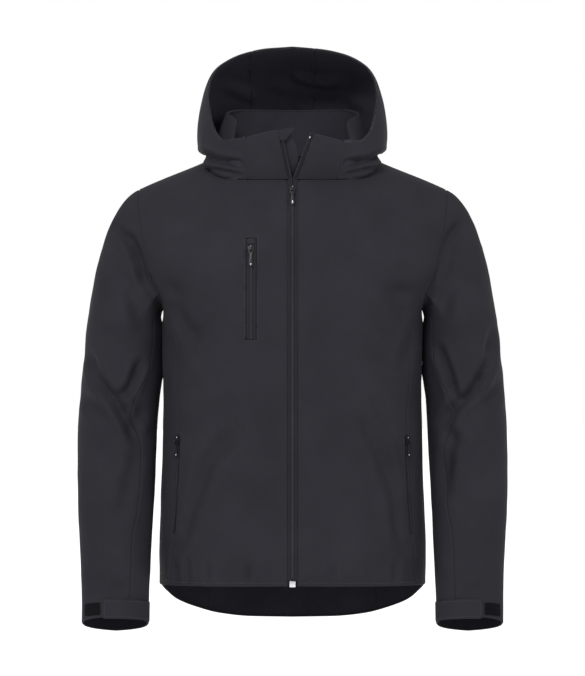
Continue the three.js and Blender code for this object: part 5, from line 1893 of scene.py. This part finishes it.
@dataclass(frozen=True)
class CuffStrip:
    """Strip round a cuff, by degrees round the sleeve and heights along it."""

    name: str
    start: float
    end: float
    top: float
    bottom: float
    wall: float
    tip: float = 0.0
    tip_share: float = 0.08
    columns: int = 44
    rows: int = 12

    def grid(self, sleeves: Sleeves, side: int) -> Grid:
        """Grid of the strip on the sleeve's own surface.

        Args:
            sleeves: Sleeves that carry it.
            side: -1 for the wearer's right, 1 for the left.
        Returns:
            Points of the strip's outer face.
        """
        grid: Grid = []
        lift = LAYER_GAP + self.wall
        for i, degrees in enumerate(even(self.columns, self.start, self.end)):
            edge = clamp((i / self.columns - 1 + self.tip_share) / self.tip_share, 0, 1)
            trim = self.tip * (1 - math.sqrt(max(0.0, 1 - edge ** 2)))
            grid.append([to_side(sleeves.ring(degrees, z) + sleeves.ring_normal(degrees, z) * lift, side)
                         for z in even(self.rows, self.bottom + trim, self.top - trim)])
        return grid


@dataclass(frozen=True)
class Cuffs:
    """Tabs with hook fastener and the loop patches that they close on."""

    tab: CuffStrip = CuffStrip("cuff_tab", 170, 70, -693, -722.5, 2.2, 5.0)
    loop: CuffStrip = CuffStrip("cuff_loop", 66, 30, -698, -716, 0.9)

    def build(self, sleeves: Sleeves) -> None:
        """Make the strips of both cuffs and sew the tabs.

        Args:
            sleeves: Sleeves that carry them.
        """
        for side, label in SIDES:
            strips = ((self.tab, SOFTSHELL, "softshell"), (self.loop, LOOP, "loop_fastener"))
            for strip, finish, slot in strips:
                wall = ClothWall(
                    f"cloth_{strip.name}_{label}", strip.grid(sleeves, side), sleeves.outward(side),
                    wall=strip.wall, roll=strip.wall * 0.3, band=1.0)
                surface = wall.build((finish, finish))
                hand_over(surface, slot, f"{strip.name}_{label}")
                declare_cloth(wall)
                if strip is self.tab:
                    self.sew_tab(surface, sleeves, side, label)
        log.info("cuffs made")

    def sew_tab(self, surface: Surface, sleeves: Sleeves, side: int, label: str) -> None:
        """Sew round a tab, near its edge.

        Args:
            surface: The tab.
            sleeves: Sleeves that carry it.
            side: -1 for the wearer's right, 1 for the left.
            label: Name of that side.
        """
        sewing = Sewing(f"cuff_stitching_{label}")
        tab = self.tab
        for edge in rectangle(tab.start - 3, tab.end + 5, tab.bottom + 3, tab.top - 3, 20):
            path = []
            for degrees, z in edge:
                normal = to_side(sleeves.ring_normal(degrees, z), side)
                path.append((to_side(sleeves.ring(degrees, z), side) + normal * 2.6, normal))
            sewing.run(path, surface, 0)
        sewing.finish(THREAD, "softshell")


@dataclass(frozen=True)
class Collar:
    """Stand collar and its front covers."""

    wall: float = 3.4
    bow: float = 3.0
    cover_from: float = 0.81
    cover_wall: float = 1.7
    rows: int = 18
    zip_insets: tuple[float, float] = (2.4, 7.6)
    base_inset: float = 2.6
    top_inset: float = 4.0

    def point(self, n: float, v: float) -> Vector:
        """Point of the collar's outer face: n runs from the right front, -1, to the left, 1.

        Args:
            n: Place round the collar.
            v: Share of the way up.
        Returns:
            The point.
        """
        base = to_side(BODY.plain(*BODY.neck(abs(n))), -1 if n < 0 else 1)
        top = Vector((COLLAR_TOP["x"](n), COLLAR_TOP["y"](n), COLLAR_TOP["z"](n)))
        bow = Vector((base.x, base.y - 5, 0)).normalized() * (self.bow * 4 * v * (1 - v))
        return base.lerp(top, v) + bow

    def level(self, n: float, v: float) -> Vector:
        """Outward direction of the collar's face.

        Args:
            n: Place round the collar.
            v: Share of the way up.
        Returns:
            The direction.
        """
        low, high = clamp(n - 0.02, -1, 1), clamp(n + 0.02, -1, 1)
        across = self.point(high, v) - self.point(low, v)
        up = self.point(n, min(v + 0.04, 1)) - self.point(n, max(v - 0.04, 0))
        normal = across.cross(up).normalized()
        return -normal if normal.dot(from_axis(self.point(n, v))) < 0 else normal

    def neck_normal(self, n: float) -> Vector:
        """Outward direction of the body at the neck seam."""
        return to_side(BODY.normal(*BODY.neck(abs(n))), -1 if n < 0 else 1)

    def cover_point(self, n: float, v: float) -> Vector:
        """Point of the outer face of a front cover.

        Args:
            n: Place round the collar.
            v: Share of the way up.
        Returns:
            The point.
        """
        level = self.level(n, max(v, 0.2))
        base = (self.neck_normal(n) + level).normalized()
        way = base.lerp(level, clamp(v / 0.2, 0, 1))
        return self.point(n, v) + way * (LAYER_GAP + SHELL)

    def build(self) -> None:
        """Make the collar and its covers and sew them."""
        rows = even(self.rows)
        grid = [[self.point(n, v) for v in rows] for n in even(150, -1, 1)]
        wall = ClothWall("cloth_collar", grid, from_axis, wall=self.wall, roll=0.9, band=1.6)
        # Both faces of the collar take the knit painted lighter, as painted light
        surface = wall.build((COLLAR_PAINTED_LIGHT, COLLAR_PAINTED_LIGHT))
        hand_over(surface, "collar_cloth", "collar")
        declare_cloth(wall)
        for side, label in SIDES:
            ends = (self.cover_from, 1) if side > 0 else (-1, -self.cover_from)
            grid = [[self.cover_point(n, v) for v in rows] for n in even(18, *ends)]
            cover = ClothWall(f"cloth_collar_front_{label}", grid, from_axis, wall=self.cover_wall, roll=0.6,
                              band=1.6)
            surface = cover.build()
            hand_over(surface, "softshell", f"collar_front_{label}")
            declare_cloth(cover)
            self.sew(surface, side, label)
        log.info("collar made")

    def sew(self, surface: Surface, side: int, label: str) -> None:
        """Sew a cover along the zip, the neck seam and its top.

        Args:
            surface: The cover.
            side: -1 for the wearer's right, 1 for the left.
            label: Name of that side.
        """
        sewing = Sewing(f"collar_stitching_{label}")
        edge = [(self.cover_point(side * 1.0, v), FORWARD) for v in even(12)]
        for reach in self.zip_insets:
            sewing.run(edge, surface, reach * side)
        for v, inset in ((0.0, -self.base_inset), (1.0, self.top_inset)):
            places = even(16, 0.99, self.cover_from + 0.01)
            sewing.run([(self.cover_point(side * n, v), FORWARD) for n in places], surface, inset * side)
        sewing.finish(THREAD, "softshell")


@dataclass(frozen=True)
class HoodPanel:
    """Panel of the hood between two places round the neck seam."""

    name: str
    start: float
    end: float
    columns: int
    calm: tuple[Calm, ...]


HOOD_PANELS = (
    HoodPanel("side_right", -0.81, -0.126, 68, (Calm(Border.LEFT, 12),)),
    HoodPanel("centre", -0.126, 0.062, 26, ()),
    HoodPanel("side_left", 0.062, 0.81, 74, (Calm(Border.RIGHT, 12),)),
)


@dataclass
class Hood:
    """Three-panel hood with a stitched hem round the face, sewn to the collar's base."""

    collar: Collar
    hem: float = 16.0
    seam_inset: float = 2.8
    rows: int = 76
    lie_from: float = 0.86
    surfaces: dict[str, Surface] = field(default_factory=dict)

    def inner(self, n: float, v: float) -> Vector:
        """Point of the inner face, from the neck seam, 0, to the face edge, 1.

        Args:
            n: Place round the neck seam.
            v: Share of the way to the face edge.
        Returns:
            The point.
        """
        side = -1 if n < 0 else 1
        u = min(1.0, abs(n) / self.collar.cover_from)
        level, normal = self.collar.level(n, 0.2), self.collar.neck_normal(n)
        flat = Vector((level.x, level.y, 0)).normalized()
        away = flat * HOOD["out"](u) + Vector((0, 0, HOOD["rise"](u)))
        underside = Vector((-flat.y, flat.x, 0)).cross(away.normalized())
        between = (normal + level).normalized()
        room = LAYER_GAP + SHELL * max(0.0, -underside.dot(normal)) + 0.2
        base = self.collar.point(n, 0) + between * (room / between.dot(normal))
        face = Vector((side * HOOD["x"](u), HOOD["y"](u), HOOD["z"](u)))
        arrive = face + Vector((side * HOOD["side"](u), HOOD["back"](u), HOOD["up"](u)))
        leave = base + away
        w = 1 - v
        curve = base * w ** 3 + leave * (3 * w * w * v) + arrive * (3 * w * v * v) + face * v ** 3
        lie = smooth_step((u - self.lie_from) / (1 - self.lie_from))
        if lie == 0 or v == 0:
            return curve
        on_collar = self.collar.point(n, v) + self.collar.level(n, v) * (LAYER_GAP + 0.1)
        return curve.lerp(on_collar, lie)

    @staticmethod
    def outward(point: Vector) -> Vector:
        """Rough outward direction of the hood."""
        return point - Vector((0, 20, 80))

    def relief(self, point: Vector, normal: Vector) -> float:
        """Height of the hood's folds at a point."""
        side = -1 if point.x < 0 else 1
        return crease_height(HOOD_CREASES, side, abs(point.x), point.z) + unevenness(point) * 0.9

    def build(self) -> None:
        """Make the three panels, with a step where the hem is turned in, and sew them."""
        for panel in HOOD_PANELS:
            places = even(panel.columns, panel.start, panel.end)
            grid = [[self.inner(n, v) for v in even(self.rows)] for n in places]
            calm = (Calm(Border.BOTTOM, 8), Calm(Border.TOP, 12), *panel.calm)
            wall = ClothWall(f"cloth_hood_{panel.name}", grid, self.outward, lift=SHELL, relief=self.relief,
                             roll=0.7, calm=calm)
            # The hood's inner face takes the knit painted lighter, as painted light
            surface = wall.build((SOFTSHELL, HOOD_LINING_PAINTED_LIGHT))
            hand_over(surface, "softshell", f"hood_{panel.name}")
            declare_cloth(wall)
            self.surfaces[panel.name] = surface
        self.sew()
        log.info("hood made")

    def thread(self, n: float, v: float) -> tuple[Vector, Vector]:
        """Point of the inner face and the direction into the hood."""
        point = self.inner(n, v)
        return point, -self.outward(point).normalized()

    def sew(self) -> None:
        """Sew the hem and both sides of each seam, on the inner face."""
        sewing = Sewing("hood_stitching")
        for panel in HOOD_PANELS:
            edge = [self.thread(n, 1.0) for n in even(60, panel.start, panel.end)]
            sewing.run(edge, self.surfaces[panel.name], self.hem)
        for left, right in zip(HOOD_PANELS, HOOD_PANELS[1:]):
            path = [self.thread(right.start, v) for v in even(60)]
            sewing.run(path, self.surfaces[left.name], -self.seam_inset)
            sewing.run(path, self.surfaces[right.name], self.seam_inset)
        sewing.finish(THREAD, "softshell")


@dataclass(frozen=True)
class FrontZip:
    """Coil of the front zip: closed up to the slider, open along the collar above it."""

    slider: float = -56.0
    height: float = 0.55
    closed_width: float = 4.4
    open_width: float = 2.0
    open_inset: float = 6.0

    def closed_frames(self) -> list[tuple[Vector, Vector, Vector]]:
        """Place, side and outward direction up the middle, to below the slider.

        Returns:
            The frames, one for each place along it.
        """
        found = []
        for z in even(90, ZIP_BOTTOM + 4, self.slider - 9):
            point, normal = BODY.thread(BODY.turn_at(ZIP_HALF, z), z, 1)
            outward = Vector((0, normal.y, normal.z)).normalized()
            found.append((Vector((0, point.y, point.z)), Vector((-1, 0, 0)), outward))
        return found

    def open_frames(self, collar: Collar, side: int) -> list[tuple[Vector, Vector, Vector]]:
        """Place, inward side and outward direction along the collar's front edge.

        Args:
            collar: Collar that carries the zip.
            side: -1 for the wearer's right, 1 for the left.
        Returns:
            The frames, from the neck seam up.
        """
        found = []
        for v in even(24):
            level = collar.level(side, v)
            along = collar.point(side, min(v + 0.03, 1)) - collar.point(side, max(v - 0.03, 0))
            across = inward(along, level, side)
            found.append((collar.point(side, v) + across * self.open_inset, across, level))
        return found

    def build(self, collar: Collar) -> None:
        """Lay the closed coil in the middle and the open halves up the collar.

        Args:
            collar: Collar that carries the open halves.
        """
        lay_coil("front_coil", self.closed_frames(), self.height, self.closed_width)
        for side, label in SIDES:
            lay_coil(f"front_coil_{label}", self.open_frames(collar, side), self.height, self.open_width)
        log.info("front zip laid")


@dataclass(frozen=True)
class Fitting:
    """Small part that keeps its solid's form, with its edges broken by a fine bevel."""

    node: str
    body: str
    slot: str
    finish: Finish
    bevel: float

    def build(self) -> None:
        """Copy the solid, bevel its sharp edges and hand it over."""
        shape = bmesh.new()
        shape.from_mesh(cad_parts[self.node].data)
        bmesh.ops.remove_doubles(shape, verts=shape.verts[:], dist=1e-6)
        bmesh.ops.dissolve_limit(shape, angle_limit=math.radians(1), verts=shape.verts[:],
                                 edges=shape.edges[:])
        limit = math.radians(35)
        bevel(shape, [edge for edge in shape.edges if edge.is_manifold and edge.calc_face_angle(0) > limit],
              self.bevel)
        piece = add_object(f"fitted_{self.node}", shape, (self.finish,))
        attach(piece, self.body)
        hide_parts(self.node)


ZIPS = ("zip", "chest", "pocket_right", "pocket_left")
FITTINGS = (
    *(Fitting(f"{name}_{part}", body or f"{name}_pull", "zip_hardware", LACQUER, 0.25)
      for name in ZIPS for part, body in (("slider", GARMENT), ("pull", None))),
    Fitting("zip_box", GARMENT, "zip_box_metal", NICKEL, 0.4),
    Fitting("chest_garage", GARMENT, "softshell", SOFTSHELL, 0.15),
    Fitting("chin_guard", GARMENT, "softshell", SOFTSHELL, 0.4),
    Fitting("wind_flap", GARMENT, "softshell", SOFTSHELL, 0.3),
)


@dataclass(frozen=True)
class BrightTip:
    """Small plated bead at the end of a pull."""

    node: str
    length: float
    width: float
    depth: float = 0.9
    drop: float = 2.2

    def build(self) -> None:
        """Set the bead on the face of the pull, near its lower end."""
        low, high = (Vector(corner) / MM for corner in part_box(self.node))
        middle = (low + high) / 2
        centre = Vector((middle.x, low.y, low.z + self.drop + self.length / 2))
        size = Vector((self.width, self.depth, self.length)) * MM
        shape = bmesh.new()
        bmesh.ops.create_uvsphere(shape, u_segments=16, v_segments=10, radius=0.5,
                                  matrix=Matrix.Translation(centre * MM) @ Matrix.Diagonal((*size, 1)))
        piece = add_object(f"bright_tip_{self.node}", shape, (NICKEL,), sharp=180)
        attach(piece, self.node)


@dataclass(frozen=True)
class TopStops:
    """Plated stops at the upper ends of the front zip, and a bead on each slider's nose."""

    size: tuple[float, float, float] = (2.6, 1.8, 1.4)
    bead_share: float = 0.6
    heights: tuple[float, float] = (0.83, 0.9)
    inset: float = 5.2
    lift: float = 0.9

    def build(self, collar: Collar) -> None:
        """Press one stop on each tape and one bead on each slider.

        Args:
            collar: Collar that carries the stops.
        """
        stops = Sewing("zip_stops")
        size = Vector(self.size)
        for (side, _), v in zip(SIDES, self.heights):
            point, level = collar.point(side, v), collar.level(side, v)
            along = (collar.point(side, v + 0.05) - point).normalized()
            across = inward(along, level, side)
            stops.bar(point + across * self.inset + level * self.lift, along, level, size)
        for name in ZIPS:
            low, high = (Vector(corner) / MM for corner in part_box(f"{name}_slider"))
            place = Vector(((low.x + high.x) / 2, low.y + 0.4, high.z - 0.6))
            stops.bar(place, Vector((0, 0, 1)), FORWARD, size * self.bead_share)
        bevel(stops.shape, stops.shape.edges[:], 0.3)
        stops.finish(NICKEL, "zip_hardware")
        log.info("zip stops made")


BRIGHT_TIPS = (
    BrightTip("zip_pull", 4.2, 2.0),
    BrightTip("chest_pull", 3.4, 1.8),
    BrightTip("pocket_right_pull", 2.4, 1.2),
    BrightTip("pocket_left_pull", 2.4, 1.2),
)
KEPT_NODES = ("zip_tape_right", "zip_tape_left", "chest_zip", "pocket_zip_right", "pocket_zip_left")


def dress_kept_nodes() -> None:
    """Give the zips' tapes, whose solids stay, their own finish."""
    for node in KEPT_NODES:
        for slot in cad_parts[node].material_slots:
            slot.material = TAPE.material()
    log.info("zip tapes dressed")


@dataclass
class Studio:
    """Plain pale floor, soft light and the camera of the photograph's front view."""

    distance: float = 4.0
    eye: float = -0.2826
    frame_height: float = 1.061
    floor: float = -1.5

    def light(self, name: str, place: tuple[float, float, float], size: float, power: float) -> None:
        """Add a soft area light aimed at the jacket's chest.

        Args:
            name: Its name.
            place: Where it stands.
            size: Its width.
            power: Its power in watts.
        """
        data = bpy.data.lights.new(name, "AREA")
        data.energy = power
        data.shape = "DISK"
        data.size = size
        lamp = bpy.data.objects.new(name, data)
        lamp.location = place
        lamp.rotation_euler = (Vector((0, 0, -0.25)) - Vector(place)).to_track_quat("-Z", "Y").to_euler()
        bpy.context.scene.collection.objects.link(lamp)

    def build(self) -> None:
        """Make the floor, the world, the lights and the camera."""
        shape = bmesh.new()
        bmesh.ops.create_grid(shape, x_segments=2, y_segments=2, size=30)
        bmesh.ops.translate(shape, verts=shape.verts[:], vec=(0, 0, self.floor))
        mesh = bpy.data.meshes.new("floor")
        shape.to_mesh(mesh)
        shape.free()
        paper = bpy.data.materials.new("white paper")
        paper.use_nodes = True
        surface = paper.node_tree.nodes["Principled BSDF"]
        surface.inputs["Base Color"].default_value = linear("#fafafa")
        surface.inputs["Roughness"].default_value = 0.9
        surface.inputs["Emission Color"].default_value = linear("#ffffff")
        surface.inputs["Emission Strength"].default_value = 0.25
        mesh.materials.append(paper)
        ground = bpy.data.objects.new("floor", mesh)
        bpy.context.scene.collection.objects.link(ground)
        world = bpy.data.worlds.new("white room")
        world.use_nodes = True
        world.node_tree.nodes["Background"].inputs["Color"].default_value = linear("#ffffff")
        world.node_tree.nodes["Background"].inputs["Strength"].default_value = 1.0
        bpy.context.scene.world = world
        bpy.context.scene.view_settings.view_transform = "Standard"
        self.light("key", (-1.1, -3.0, 2.1), 1.1, 120)
        self.light("fill", (1.9, -2.9, 0.9), 1.5, 38)
        data = bpy.data.cameras.new("front view")
        data.sensor_fit = "AUTO"
        data.sensor_width = 36
        data.lens = 36 * self.distance / self.frame_height
        camera = bpy.data.objects.new("front view", data)
        camera.location = (0, -self.distance, self.eye)
        camera.rotation_euler = (math.pi / 2, 0, 0)
        bpy.context.scene.collection.objects.link(camera)
        bpy.context.scene.camera = camera
        log.info("studio made")


def main() -> None:
    """Build the sub-assemblies in order."""
    logging.basicConfig(level=logging.INFO, format="%(message)s")
    Studio().build()
    body = BodyPanels()
    body.build()
    body.sew()
    sleeves = Sleeves()
    sleeves.build()
    Cuffs().build(sleeves)
    collar = Collar()
    collar.build()
    Hood(collar).build()
    CHEST_POCKET.sew(body.surfaces["front_right"])
    HAND_POCKETS.sew(body.surfaces)
    FrontZip().build(collar)
    for fitting in FITTINGS:
        fitting.build()
    for tip in BRIGHT_TIPS:
        tip.build()
    TopStops().build(collar)
    dress_kept_nodes()


if __name__ == "__main__":
    main()
